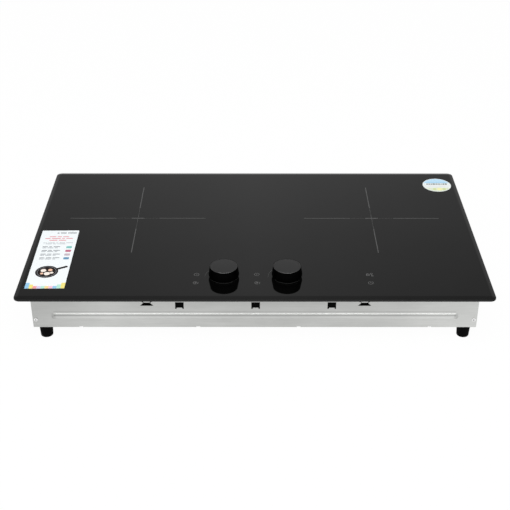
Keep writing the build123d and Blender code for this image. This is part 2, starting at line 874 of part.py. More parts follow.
def make_transistors():
    x = sink_x - sink_width / 2 - transistor_size[0] / 2
    packages = []
    for side in sides.values():
        for step in (-1, 0, 1):
            place = Pos(side * x, zone_y + step * transistor_pitch, board_top_z)
            packages.append(place * Box(*transistor_size, align=centred_up))
    return group(packages)


def make_film_capacitors():
    return group(
        component(
            side * (zone_x - film_capacitor_offset), zone_y + step * film_capacitor_pitch, film_capacitor_size
        )
        for side in sides.values()
        for step in (-1, 0, 1)
    )


def make_choke():
    """Toroid core with its two winding halves."""
    core = Pos(choke_place[0], filter_board_y + choke_place[1]) * (Circle(choke_outer) - Circle(choke_inner))
    choke = extrude(Pos(0, 0, board_top_z + choke_winding) * core, amount=choke_height - 2 * choke_winding)
    low = choke_inner - choke_winding
    high = choke_outer + choke_winding
    section = Pos((low + high) / 2, board_top_z + choke_height / 2) * RectangleRounded(
        high - low, choke_height, choke_winding
    )
    half = revolve(Plane.XZ * section, axis=Axis.Z, revolution_arc=choke_winding_angle)
    for start in (0, 180):
        turn = Rot(0, 0, start - choke_winding_angle / 2)
        choke += Pos(choke_place[0], filter_board_y + choke_place[1]) * turn * half
    return choke


def make_filter_capacitors():
    return group(component(x, filter_board_y + y, filter_capacitor_size) for x, y in filter_capacitor_places)


def terminal_x(pole):
    return (pole - (terminal_poles - 1) / 2) * terminal_pitch


def make_terminal_block():
    body = Pos(0, terminal_y, floor_z) * Box(*terminal_size, align=centred_up)
    body = chamfer(body.faces().sort_by(Axis.Z)[-1].edges(), component_chamfer)
    top = floor_z + terminal_size[2]
    for pole in range(terminal_poles):
        entry = Pos(terminal_x(pole), terminal_y, terminal_entry_z) * Rot(90, 0, 0)
        body -= entry * Cylinder(terminal_entry_radius, terminal_size[1])
        body -= rod((terminal_x(pole), terminal_y), top - terminal_well_depth, top, terminal_well_radius)
    return body


def make_gland():
    """Cable gland through the rear wall; its bore takes the supply cable."""
    axis = rear_wall * Pos(0, tray_z + gland_rise)
    neck = extrude(axis * Circle(gland_neck_radius), amount=-gland_inner_length)
    collar = extrude(axis * Circle(gland_flange_radius), amount=gland_flange_thickness)
    nose = loft([
        axis * Pos(0, 0, gland_flange_thickness) * Circle(gland_neck_radius),
        axis * Pos(0, 0, gland_outer_length) * Circle(gland_nose_radius),
    ])
    length = gland_outer_length + gland_inner_length
    bore = extrude(axis * Pos(0, 0, -gland_inner_length) * Circle(gland_bore_radius), amount=length)
    return neck + collar + nose - bore


def make_gland_nut():
    seat = rear_wall * Pos(0, tray_z + gland_rise, -sheet)
    hole = Circle(gland_neck_radius + shaft_gap)
    outline = RegularPolygon(gland_nut_flats / 2, 6, major_radius=False) - hole
    return extrude(seat * outline, amount=-gland_nut_height)


def make_wires():
    """Mains wires, supply wires of the power boards and the blower leads."""
    wires = []
    front = terminal_y - terminal_size[1] / 2
    landing = filter_board_y + filter_board_depth / 2 - mains_wire_landing
    for pole in range(terminal_poles - 1):
        x = terminal_x(pole)
        wires.append(tube_wire(
            [(x, front + mains_wire_depth, terminal_entry_z), (x, landing, terminal_entry_z),
             (x, landing, board_top_z)],
            lead_bend, wire_radius,
        ))
    for side in sides.values():
        for y in (zone_y - supply_wire_spread, zone_y + supply_wire_spread):
            near = side * (filter_board_length / 2 - supply_wire_landing)
            far = side * (zone_x - power_board_length / 2 + supply_wire_landing)
            top = board_top_z + supply_wire_rise
            wires.append(tube_wire(
                [(near, y, board_top_z), (near, y, top), (far, y, top), (far, y, board_top_z)],
                lead_bend, wire_radius,
            ))
        x = side * (fan_x - fan_size / 2 + fan_lead_inset)
        back = fan_y + fan_size / 2
        landing_y = zone_y - power_board_depth / 2 + fan_lead_landing
        wires.append(tube_wire(
            [(x, back, floor_z + fan_lead_rise), (x, landing_y, floor_z + fan_lead_rise),
             (x, landing_y, board_top_z)],
            lead_bend, wire_radius,
        ))
    return group(wires)


# ---- Blowers ----

def make_fan_frame():
    """Right-hand blower housing: intake below, outlet towards the heat sink."""
    place = (fan_x, fan_y)
    top = floor_z + fan_height
    roof = top - fan_wall
    floor = floor_z + fan_wall
    frame = extrude(
        Pos(fan_x, fan_y, floor_z) * RectangleRounded(fan_size, fan_size, fan_corner_radius),
        amount=fan_height,
    )
    frame += rod(place, top, top + fan_boss_height, fan_boss_radius)
    frame -= rod(place, floor, roof, fan_cavity_radius)
    frame -= block(
        (fan_x + fan_outlet_start, fan_x + fan_cavity_radius), (fan_y, fan_y + fan_size), (floor, roof)
    )
    frame -= rod(place, floor_z, floor, fan_intake_radius)
    frame -= rod(place, roof, top + fan_boss_height - fan_boss_cap, shaft_radius + shaft_gap)
    return frame


def polar(radius, angle):
    return (radius * cos(radians(angle)), radius * sin(radians(angle)))


def make_impeller():
    """Squirrel-cage impeller: back plate, hub, shaft, curved blades and their end ring."""
    place = (fan_x, fan_y)
    high = floor_z + fan_height - fan_wall - impeller_gap
    low = floor_z + fan_wall + impeller_gap
    shaft_top = floor_z + fan_height + fan_boss_height - fan_boss_cap - shaft_end_gap
    wheel = rod(place, high - impeller_plate, high, impeller_radius)
    wheel += rod(place, high - impeller_hub_drop, high, impeller_hub_radius)
    wheel += rod(place, high, shaft_top, shaft_radius)
    ring = rod(place, low, low + impeller_ring, impeller_radius)
    wheel += ring - rod(place, low, low + impeller_ring, impeller_radius - impeller_ring_width)

    middle_radius = (impeller_inner_radius + impeller_radius) / 2
    stations = (
        (impeller_inner_radius, 0.0),
        (middle_radius, blade_sweep / 2 - blade_bow),
        (impeller_radius - blade_tip_inset, blade_sweep),
    )
    face = [polar(radius, angle) for radius, angle in stations]
    back = [polar(radius, angle + degrees(blade_thickness / radius)) for radius, angle in stations]
    outline = make_face([
        ThreePointArc(*face), Line(face[2], back[2]),
        ThreePointArc(*reversed(back)), Line(back[0], face[0]),
    ])
    blade = extrude(Pos(0, 0, low) * outline, amount=high - low - impeller_plate / 2)
    turns = [Rot(0, 0, index * 360 / impeller_blades) for index in range(impeller_blades)]
    return wheel + [Pos(fan_x, fan_y, 0) * turn * blade for turn in turns]


# ---- Controls under the glass ----

def control_limits():
    front = -half_depth + sheet + control_front_gap
    high = glass_z - control_drop
    return (front, front + control_depth), (high - control_height, high)


def make_control_housing():
    """Open plastic box, caught on the front wall by three lugs and standing on three legs."""
    (front, back), (low, high) = control_limits()
    wall = control_wall
    box = block((control_left, control_right), (front, back), (low, high))
    box -= block((control_left + wall, control_right - wall), (front + wall, back - wall), (low + wall, high))

    lug_low = glass_z - catch_low + catch_tongue_height + lug_gap
    lug_high = glass_z - catch_high - lug_gap
    tip = -half_depth + lug_reach
    lug_profile = Polygon(
        (front, lug_low), (tip, lug_low), (tip, (lug_low + lug_high) / 2),
        (front - lug_gap, lug_high), (front, lug_high),
        align=None,
    )
    lug = extrude(Plane.YZ * lug_profile, amount=catch_width / 2 - lug_gap, both=True)
    for step in (-1, 0, 1):
        box += Pos(step * catch_pitch + catch_offset, 0, 0) * lug
    half = control_leg / 2
    for x in control_leg_places:
        box += block((x - half, x + half), (back - control_leg, back), (floor_z, low))
    for place in control_post_places():
        box += rod(place, low + wall, control_board_top_z - board_thickness, control_post_radius)
    slot = ribbon_width / 2 + ribbon_slot_gap
    slot_high = control_board_top_z - board_thickness + ribbon_slot_gap
    slot_low = slot_high - 2 * ribbon_slot_gap - ribbon_thickness
    box -= block((-slot, slot), (back - wall, back), (slot_low, slot_high))
    return box


def control_board_limits():
    (front, back), _ = control_limits()
    inset = control_wall + control_board_gap
    return (control_left + inset, control_right - inset), (front + inset, back - inset)


def control_post_places():
    (left, right), (front, back) = control_board_limits()
    inset = control_post_inset
    return [(x, y) for x in (left + inset, right - inset) for y in (front + inset, back - inset)]


def make_control_board():
    """Board with the position sensors of both knobs."""
    (left, right), (front, back) = control_board_limits()
    low = control_board_top_z - board_thickness
    board = block((left, right), (front, back), (low, control_board_top_z))
    for knob_x, knob_y in knob_places.values():
        for index in range(sensor_chips):
            x, y = polar(sensor_chip_circle, index * 360 / sensor_chips)
            chip = Box(sensor_chip_size, sensor_chip_size, sensor_chip_height, align=centred_up)
            board += Pos(knob_x + x, knob_y + y, control_board_top_z) * chip
    return board


def make_touch_pads():
    places = [(x, inset - glass_depth / 2) for x in touch_columns for inset in touch_insets]
    return group(rod(place, control_board_top_z, glass_z, touch_pad_radius) for place in places)


def make_anchor_magnets():
    low = glass_z - anchor_height
    magnets = []
    for place in knob_places.values():
        magnets.append(rod(place, low, glass_z, anchor_outer) - rod(place, low, glass_z, anchor_inner))
    return group(magnets)


def make_light_guides():
    """Clear arcs that carry the level display from the board to the glass."""
    outer = guide_radius + guide_width / 2
    inner = guide_radius - guide_width / 2
    sweep_angle = guide_to - guide_from
    strip = make_face([
        CenterArc((0, 0), outer, guide_from, sweep_angle),
        Line(polar(outer, guide_to), polar(inner, guide_to)),
        CenterArc((0, 0), inner, guide_to, -sweep_angle),
        Line(polar(inner, guide_from), polar(outer, guide_from)),
    ])
    guides = []
    for place in knob_places.values():
        foot = Pos(place[0], place[1], control_board_top_z)
        guides.append(extrude(foot * strip, amount=glass_z - control_board_top_z))
    return group(guides)


def make_ribbon():
    """Flat cable from the control board, through its housing, down to the filter board."""
    (_, back), _ = control_limits()
    high = control_board_top_z - board_thickness
    start = back - ribbon_tail
    end = filter_board_y - filter_board_depth / 2 + ribbon_landing
    outside = Pos((start + end) / 2, (board_top_z + high) / 2) * Rectangle(end - start, high - board_top_z)
    outside = fillet(outside.vertices().sort_by_distance((end, high))[0], ribbon_bend)
    inside_high = high - ribbon_thickness
    inside_end = end - ribbon_thickness
    inside = Pos((start + inside_end) / 2, (board_top_z + inside_high) / 2) * Rectangle(
        inside_end - start, inside_high - board_top_z
    )
    inside = fillet(inside.vertices().sort_by_distance((inside_end, inside_high))[0], ribbon_bend - ribbon_thickness)
    return extrude(Plane.YZ * (outside - inside), amount=ribbon_width / 2, both=True)


# ---- Knobs, each modelled about its own axis with the glass at z = 0 ----

def make_knob_base():
    """Glide disc that stays on the glass, with the hub that the shell turns on."""
    hub_top = knob_height - knob_cap_thickness - knob_roof - knob_roof_gap
    pad_radius = knob_skirt_radius - knob_wall - knob_pad_gap
    return rod((0, 0), 0, knob_pad_thickness, pad_radius) + rod((0, 0), 0, hub_top, knob_hub_radius)


def make_knob_magnet():
    low = knob_pad_thickness
    high = low + knob_magnet_height
    return rod((0, 0), low, high, knob_magnet_outer) - rod((0, 0), low, high, knob_magnet_inner)


def knob_cap_radius():
    return knob_top_radius - knob_edge - knob_rim


def make_knob_shell():
    seat = knob_height - knob_cap_thickness
    roof = seat - knob_roof
    slope = (knob_wide_radius - knob_top_radius) / (knob_height - knob_wide_height)
    roof_radius = knob_wide_radius - slope * (roof - knob_wide_height) - knob_wall
    bore = knob_hub_radius + knob_hub_gap
    boss = bore + knob_boss_wall
    profile = Polygon(
        (knob_skirt_radius, knob_floor_gap), (knob_wide_radius, knob_wide_height),
        (knob_top_radius, knob_height - knob_edge), (knob_top_radius - knob_edge, knob_height),
        (knob_cap_radius(), knob_height), (knob_cap_radius(), seat), (0, seat), (0, roof),
        (bore, roof), (bore, knob_boss_rise), (boss, knob_boss_rise), (boss, roof),
        (roof_radius, roof), (knob_wide_radius - knob_wall, knob_wide_height),
        (knob_skirt_radius - knob_wall, knob_floor_gap),
        align=None,
    )
    waist = profile.vertices().sort_by_distance((knob_wide_radius, knob_wide_height))[0]
    profile = fillet(waist, knob_waist_round)
    return revolve(Plane.XZ * profile, axis=Axis.Z)


def make_knob_cap():
    return rod((0, 0), knob_height - knob_cap_thickness, knob_height, knob_cap_radius() - knob_cap_gap)


# ---- All nodes ----

parts = {
    "glass_top": make_glass(),
    "glass_seal": make_seal(),
    "housing_tray": make_tray(),
    "front_glass_rail": make_rail(),
    "rear_glass_rail": Rot(0, 0, 180) * make_rail(),
    "corner_screws": make_corner_screws(),
    "foot_screws": make_foot_screws(),
    "foot_nuts": make_foot_nuts(),
    "shelf_screws": make_shelf_screws(),
    "carrier_springs": make_carrier_springs(),
    "ferrite_bars": make_ferrites(),
    "mica_sheets": make_micas(),
    "coil_leads": make_coil_leads(),
    "power_transistors": make_transistors(),
    "film_capacitors": make_film_capacitors(),
    "board_standoffs": make_standoffs(),
    "board_screws": make_board_screws(),
    "filter_board": make_board(
        (0, filter_board_y), filter_board_length, filter_board_depth, filter_board_corners()
    ),
    "mains_choke": make_choke(),
    "filter_capacitors": make_filter_capacitors(),
    "terminal_block": make_terminal_block(),
    "cable_gland": make_gland(),
    "gland_nut": make_gland_nut(),
    "internal_wires": make_wires(),
    "control_housing": make_control_housing(),
    "control_board": make_control_board(),
    "touch_pads": make_touch_pads(),
    "knob_anchor_magnets": make_anchor_magnets(),
    "light_guides": make_light_guides(),
    "control_ribbon": make_ribbon(),
}
for corner_name, corner_place in foot_places().items():
    parts["foot_" + corner_name] = make_foot(corner_place)

handed = {
    "side_panel": make_side_panel(),
    "coil_shelf": make_shelf(),
    "coil_carrier": make_carrier(),
    "coil_winding": make_winding(),
    "coil_sensor": make_sensor(),
    "heat_sink": make_sink(),
    "fan_frame": make_fan_frame(),
    "fan_impeller": make_impeller(),
}
knob_pieces = {
    "knob_base": make_knob_base(),
    "knob_magnet": make_knob_magnet(),
    "knob_shell": make_knob_shell(),
    "knob_cap": make_knob_cap(),
}
for side_name, side_sign in sides.items():
    for name, shape in handed.items():
        parts[name + "_" + side_name] = on_side(side_name, shape)
    for name, shape in knob_pieces.items():
        parts[name + "_" + side_name] = Pos(*knob_places[side_name], glass_top_z) * shape
    parts["power_board_" + side_name] = make_board(
        (side_sign * zone_x, zone_y), power_board_length, power_board_depth, power_board_corners(side_name)
    )

os.makedirs("parts", exist_ok=True)
for name, shape in parts.items():
    export_step(shape, os.path.join("parts", name + ".step"))
print(len(parts), "nodes")
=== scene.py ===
from math import atan2, cos, pi, radians, sin, tan
from random import Random

import bmesh
import bpy
from mathutils import Euler, Matrix, Vector


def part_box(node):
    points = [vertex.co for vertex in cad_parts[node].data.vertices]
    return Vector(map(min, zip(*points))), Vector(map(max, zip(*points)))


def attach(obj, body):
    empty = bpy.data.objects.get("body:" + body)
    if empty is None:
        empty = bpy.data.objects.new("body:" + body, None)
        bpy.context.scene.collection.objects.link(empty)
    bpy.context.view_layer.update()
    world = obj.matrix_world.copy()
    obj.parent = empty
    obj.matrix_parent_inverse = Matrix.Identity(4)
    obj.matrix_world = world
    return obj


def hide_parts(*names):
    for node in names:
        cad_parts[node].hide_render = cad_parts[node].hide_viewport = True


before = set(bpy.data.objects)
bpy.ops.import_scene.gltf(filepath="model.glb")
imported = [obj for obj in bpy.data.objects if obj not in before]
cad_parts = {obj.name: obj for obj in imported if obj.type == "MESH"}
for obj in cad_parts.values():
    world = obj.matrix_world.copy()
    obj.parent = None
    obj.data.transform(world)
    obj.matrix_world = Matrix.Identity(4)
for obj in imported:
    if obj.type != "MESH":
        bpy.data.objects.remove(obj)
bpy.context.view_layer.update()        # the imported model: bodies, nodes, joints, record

# A two-zone induction cooktop. Lengths in the dictionaries are millimetres, and colours are
# written as a picture shows them, from 0 to 255.
mm = 0.001
scene = bpy.context.scene
scene.view_settings.view_transform = "Standard"


def tint(value):  # a grey, or red, green and blue, as the linear colour that a socket takes
    values = (value,) * 3 if isinstance(value, (int, float)) else value
    shares = [level / 255 for level in values]
    return tuple(s / 12.92 if s <= 0.04045 else ((s + 0.055) / 1.055) ** 2.4 for s in shares) + (1.0,)


# Camera, lamps, world and floor

camera = {
    "lens": 74.41,
    "sensor": 36,
    "place": (-2.34, -1249.16, 775.05),
    "pitch": 30.744,     # degrees below the horizon
    "yaw": 0.121,
    "roll": 0.084,
    "reach": 60,         # metres
}
keyLamp = {"place": (0, -600, 1500), "size": (1700, 1500), "power": 14.0}
dome = {
    "heights": (0.0, 0.20, 0.43, 0.53, 0.75),     # share of the way up
    "levels": (1.0, 0.80, 0.48, 0.405, 0.34),
    "nearLevels": (1.0, 1.15, 1.35, 1.45, 1.2),      # on the camera's side
    "sideFall": 0.58,    # level beside the middle, as a share
    "sideFrom": 0.0,
    "sideTo": 0.30,
    "nearFrom": 0.0,     # where the camera's side starts, to the front
    "nearTo": -0.2,
}
ground = {"size": 30000, "colour": 250, "rough": 0.9, "ownLight": 0.97}


def fill(tree, socket, value):  # a socket takes a value or the output of another node
    if isinstance(value, bpy.types.NodeSocket):
        tree.links.new(value, socket)
    else:
        socket.default_value = value


def addNode(tree, kind, sockets=None, **settings):
    node = tree.nodes.new(kind)
    for name, value in settings.items():
        setattr(node, name, value)
    for name, value in (sockets or {}).items():
        fill(tree, node.inputs[name], value)
    return node


def math(tree, operation, first, second=0.0):
    return addNode(tree, "ShaderNodeMath", {0: first, 1: second}, operation=operation).outputs[0]


def newMaterial(name, sockets):
    material = bpy.data.materials.new(name)
    material.use_nodes = True
    shader = material.node_tree.nodes["Principled BSDF"]
    for socket, value in sockets.items():
        shader.inputs[socket].default_value = value
    return material, material.node_tree, shader


def aimLamp(name, values):  # a soft rectangular lamp that looks at the cooktop
    data = bpy.data.lights.new(name, "AREA")
    data.shape = "RECTANGLE"
    data.size, data.size_y = (side * mm for side in values["size"])
    data.energy = values["power"]
    lamp = bpy.data.objects.new(name, data)
    lamp.location = Vector(values["place"]) * mm
    lamp.rotation_euler = (-lamp.location).to_track_quat("-Z", "Y").to_euler()
    scene.collection.objects.link(lamp)


def makeCamera():
    data = bpy.data.cameras.new("camera")
    data.lens = camera["lens"]
    data.sensor_width = camera["sensor"]
    data.clip_end = camera["reach"]
    view = bpy.data.objects.new("camera", data)
    turn = Matrix.Rotation(-radians(camera["yaw"]), 4, "Z")
    turn @= Matrix.Rotation(radians(90 - camera["pitch"]), 4, "X")
    turn @= Matrix.Rotation(radians(camera["roll"]), 4, "Z")
    view.matrix_world = Matrix.Translation(Vector(camera["place"]) * mm) @ turn
    scene.collection.objects.link(view)
    scene.camera = view


def makeDome():
    world = bpy.data.worlds.new("studio")
    scene.world = world
    world.use_nodes = True
    tree = world.node_tree
    direction = addNode(tree, "ShaderNodeTexCoord").outputs["Generated"]
    parts = addNode(tree, "ShaderNodeSeparateXYZ", {0: direction}).outputs
    strongest = max(dome["nearLevels"])

    def sky(levels):  # strength by height, from 0 to the strongest level
        ramp = addNode(tree, "ShaderNodeValToRGB", {"Fac": parts["Z"]})
        stops = ramp.color_ramp.elements
        for height, level in zip(dome["heights"], levels):
            stop = stops[0] if height == 0 else stops.new(height)
            stop.color = (level / strongest,) * 3 + (1,)
        stops[-1].color = stops[-2].color
        return ramp.outputs["Color"]

    def mixed(share, first, second):
        return addNode(tree, "ShaderNodeMix", {0: share, 2: first, 3: second}, data_type="FLOAT").outputs[0]

    fall = addNode(tree, "ShaderNodeMapRange", {
        "Value": math(tree, "ABSOLUTE", parts["X"]), "From Min": dome["sideFrom"],
        "From Max": dome["sideTo"], "To Min": 1.0, "To Max": dome["sideFall"],
    }).outputs[0]
    near = addNode(tree, "ShaderNodeMapRange", {
        "Value": parts["Y"], "From Min": dome["nearFrom"], "From Max": dome["nearTo"],
    }).outputs[0]
    far = math(tree, "MULTIPLY", sky(dome["levels"]), fall)
    strength = math(tree, "MULTIPLY", mixed(near, far, sky(dome["nearLevels"])), strongest)
    seen = addNode(tree, "ShaderNodeLightPath").outputs["Is Camera Ray"]
    background = tree.nodes["Background"].inputs
    fill(tree, background["Strength"], mixed(seen, strength, 1.0))     # plain white behind everything
    fill(tree, background["Color"], (1, 1, 1, 1))


def makeFloor():
    half = ground["size"] / 2 * mm
    mesh = bpy.data.meshes.new("floor")
    corners = [(-half, -half, 0), (half, -half, 0), (half, half, 0), (-half, half, 0)]
    mesh.from_pydata(corners, [], [(0, 1, 2, 3)])
    floor = bpy.data.objects.new("floor", mesh)
    scene.collection.objects.link(floor)
    material, tree, shader = newMaterial("paleFloor", {
        "Base Color": tint(ground["colour"]), "Roughness": ground["rough"], "Specular IOR Level": 0.0,
    })
    white = addNode(tree, "ShaderNodeEmission", {"Color": (1, 1, 1, 1), "Strength": 1.0})
    rays = addNode(tree, "ShaderNodeLightPath").outputs
    mirrored = math(tree, "MAXIMUM", rays["Is Glossy Ray"], rays["Is Transmission Ray"])
    seen = math(tree, "MAXIMUM", rays["Is Camera Ray"], mirrored)
    share = math(tree, "MULTIPLY", seen, ground["ownLight"])
    shown = addNode(tree, "ShaderNodeMixShader", {0: share, 1: shader.outputs[0], 2: white.outputs[0]})
    tree.links.new(shown.outputs[0], tree.nodes["Material Output"].inputs["Surface"])
    mesh.materials.append(material)


makeCamera()
makeDome()
aimLamp("keyLamp", keyLamp)
makeFloor()
print("stage ready")


# Materials

noiseSpan = (0.3, 0.7)     # the part of a noise that goes from the first to the last of a look
noiseRoughness = 0.55


def objectPlace(tree, scale):  # object coordinates, scaled along each axis
    place = addNode(tree, "ShaderNodeTexCoord").outputs["Object"]
    return addNode(tree, "ShaderNodeMapping", {"Vector": place, "Scale": scale}).outputs["Vector"]


def millimetres(tree):  # x, y and z of a place on the cooktop
    return addNode(tree, "ShaderNodeSeparateXYZ", {0: objectPlace(tree, (1 / mm,) * 3)}).outputs


def grain(tree, size, stretch=(1, 1, 1), detail=3.0):  # noise whose spots are size across, times stretch
    scale = [1 / (size * mm * length) for length in stretch]
    return addNode(tree, "ShaderNodeTexNoise", {
        "Vector": objectPlace(tree, scale), "Scale": 1.0, "Detail": detail,
        "Roughness": noiseRoughness,
    }).outputs[0]


def shades(tree, factor, dark, light):  # a colour that follows noise from dark to light
    ramp = addNode(tree, "ShaderNodeValToRGB", {"Fac": factor})
    for stop, position, value in zip(ramp.color_ramp.elements, noiseSpan, (dark, light)):
        stop.position = position
        stop.color = tint(value)
    return ramp.outputs["Color"]


def paint(tree, shader, factor, look):  # colour that follows noise from dark to light
    tree.links.new(shades(tree, factor, look["dark"], look["light"]), shader.inputs["Base Color"])


def roughen(tree, shader, factor, look):  # roughness that follows noise from low to high
    low, high = look["rough"]
    span = addNode(tree, "ShaderNodeMapRange", {
        "Value": factor, "From Min": noiseSpan[0], "From Max": noiseSpan[1], "To Min": low, "To Max": high,
    })
    tree.links.new(span.outputs[0], shader.inputs["Roughness"])


def relief(tree, shader, height, depth, strength=1.0):  # bump, with its depth in millimetres
    bump = addNode(tree, "ShaderNodeBump", {
        "Height": height, "Strength": strength, "Distance": depth * mm,
    })
    tree.links.new(bump.outputs["Normal"], shader.inputs["Normal"])


glassLook = {
    "dark": 2, "light": 5, "cloud": 60.0, "smear": 18.0, "smearStretch": (3, 1, 1), "rough": (0.035, 0.06),
    "bending": 1.5,
}
# A copy of the glass, painted lighter for the bevel as a painted highlight
bevelPaintedLightLook = {**glassLook, "dark": 12, "light": 15}


def makeCeramicGlass(name, look):
    material, tree, shader = newMaterial(name, {"IOR": look["bending"]})
    paint(tree, shader, grain(tree, look["cloud"]), look)
    roughen(tree, shader, grain(tree, look["smear"], look["smearStretch"]), look)
    return material


steelLook = {
    "dark": (178, 179, 177), "light": (202, 203, 201), "rough": (0.3, 0.44), "depth": 0.0005,
    "streak": 0.5, "streakLength": 160.0, "streakDetail": 5.0, "streakShare": 0.65,
    "cloud": 14.0, "cloudStretch": (3, 3, 1), "cloudDetail": 4.0, "cloudShare": 0.35,
}
# Painted light and shade on the long walls, lighter or darker up them and along them: painted shade under
# the glass, painted highlights and shade lines on the bead, painted shade at its ends and painted light
# along the walls
paintedWallLight = {
    "beadEnd": 251.0, "wallFrom": 150.0,
    # painted shade under the glass, darker towards the top of the wall
    "shadeUnderGlass": ((20.0, 1.03), (31.0, 1.02), (44.3, 0.99), (60.0, 0.93)),
    # painted highlights up the bead, with painted shade lines between them
    "beadHighlightAndShade": ((30.9, 1.0), (31.6, 1.04), (32.2, 1.18), (33.2, 1.18), (33.6, 1.1), (36.8, 1.1),
               (37.2, 0.76), (38.4, 0.76), (38.9, 0.84), (40.0, 0.84), (40.3, 1.2), (41.4, 1.2),
               (41.8, 0.87), (43.2, 0.87), (43.5, 0.93), (43.8, 0.93), (44.3, 1.0)),
    # painted shade round the ends of the bead
    "beadEndShade": ((0.0, 1.0), (248.0, 1.0), (249.5, 0.8), (252.5, 0.8), (254.0, 1.0), (280.0, 1.0)),
    "beadBand": (33.0, 40.2),
    # painted light along the walls, darker at the left end and in the middle, brightest at the right end
    "along": ((-280.0, 0.93), (-262.0, 0.955), (-240.0, 1.01), (-215.0, 1.07), (-190.0, 1.11),
              (-160.0, 1.085), (-130.0, 1.035), (0.0, 0.955), (150.0, 1.0), (181.0, 1.04), (206.0, 1.1),
              (231.0, 1.14), (280.0, 1.165)),
}


def stepsOf(tree, value, points):  # a number that passes through these places and levels
    first, last = points[0][0], points[-1][0]
    top = max(level for place, level in points)
    share = addNode(tree, "ShaderNodeMapRange", {"Value": value, "From Min": first, "From Max": last})
    ramp = addNode(tree, "ShaderNodeValToRGB", {"Fac": share.outputs[0]})
    stops = ramp.color_ramp.elements
    for place, level in points[1:-1]:
        stops.new((place - first) / (last - first))
    for stop, (place, level) in zip(stops, points):
        stop.color = (level / top,) * 3 + (1,)
    return math(tree, "MULTIPLY", ramp.outputs["Color"], top)


def paintWallLight(tree, colour):  # the colour of the steel, with the painted light and shade laid on it
    place = millimetres(tree)
    across, high = place["X"], place["Z"]
    reach = math(tree, "ABSOLUTE", across)
    low, top = paintedWallLight["beadBand"]
    inside = math(tree, "LESS_THAN", reach, paintedWallLight["beadEnd"])
    wall = math(tree, "GREATER_THAN", math(tree, "ABSOLUTE", place["Y"]), paintedWallLight["wallFrom"])
    offBand = math(tree, "ABSOLUTE", math(tree, "SUBTRACT", high, (low + top) / 2))
    band = math(tree, "LESS_THAN", offBand, (top - low) / 2)

    def only(where, level):  # this level where asked, and 1 elsewhere
        return math(tree, "ADD", math(tree, "MULTIPLY", where, math(tree, "SUBTRACT", level, 1.0)), 1.0)

    # painted shade under the glass, the bead's painted highlights and shade lines, painted shade at its
    # ends, and painted light along the walls
    levels = (
        only(wall, stepsOf(tree, high, paintedWallLight["shadeUnderGlass"])),
        only(math(tree, "MULTIPLY", wall, inside), stepsOf(tree, high, paintedWallLight["beadHighlightAndShade"])),
        only(math(tree, "MULTIPLY", wall, band), stepsOf(tree, reach, paintedWallLight["beadEndShade"])),
        stepsOf(tree, across, paintedWallLight["along"]),
    )
    for level in levels:
        marked = addNode(tree, "ShaderNodeVectorMath", {0: colour, "Scale": level}, operation="SCALE")
        colour = marked.outputs[0]
    return colour


def makeSheetSteel(name, along, paintedLight=False):  # along is the axis of the rolling grain
    material, tree, shader = newMaterial(name, {"Metallic": 1.0})
    stretch = [1.0, 1.0, 1.0]
    stretch[along] = steelLook["streakLength"]
    streak = grain(tree, steelLook["streak"], stretch, steelLook["streakDetail"])
    cloud = grain(tree, steelLook["cloud"], steelLook["cloudStretch"], steelLook["cloudDetail"])
    clouded = math(tree, "MULTIPLY", cloud, steelLook["cloudShare"])
    grained = math(tree, "ADD", clouded, math(tree, "MULTIPLY", streak, steelLook["streakShare"]))
    colour = shades(tree, grained, steelLook["dark"], steelLook["light"])
    # the long walls take the painted light and shade laid on their colour
    if paintedLight:
        colour = paintWallLight(tree, colour)
    tree.links.new(colour, shader.inputs["Base Color"])
    roughen(tree, shader, streak, steelLook)
    relief(tree, shader, streak, steelLook["depth"])
    return material


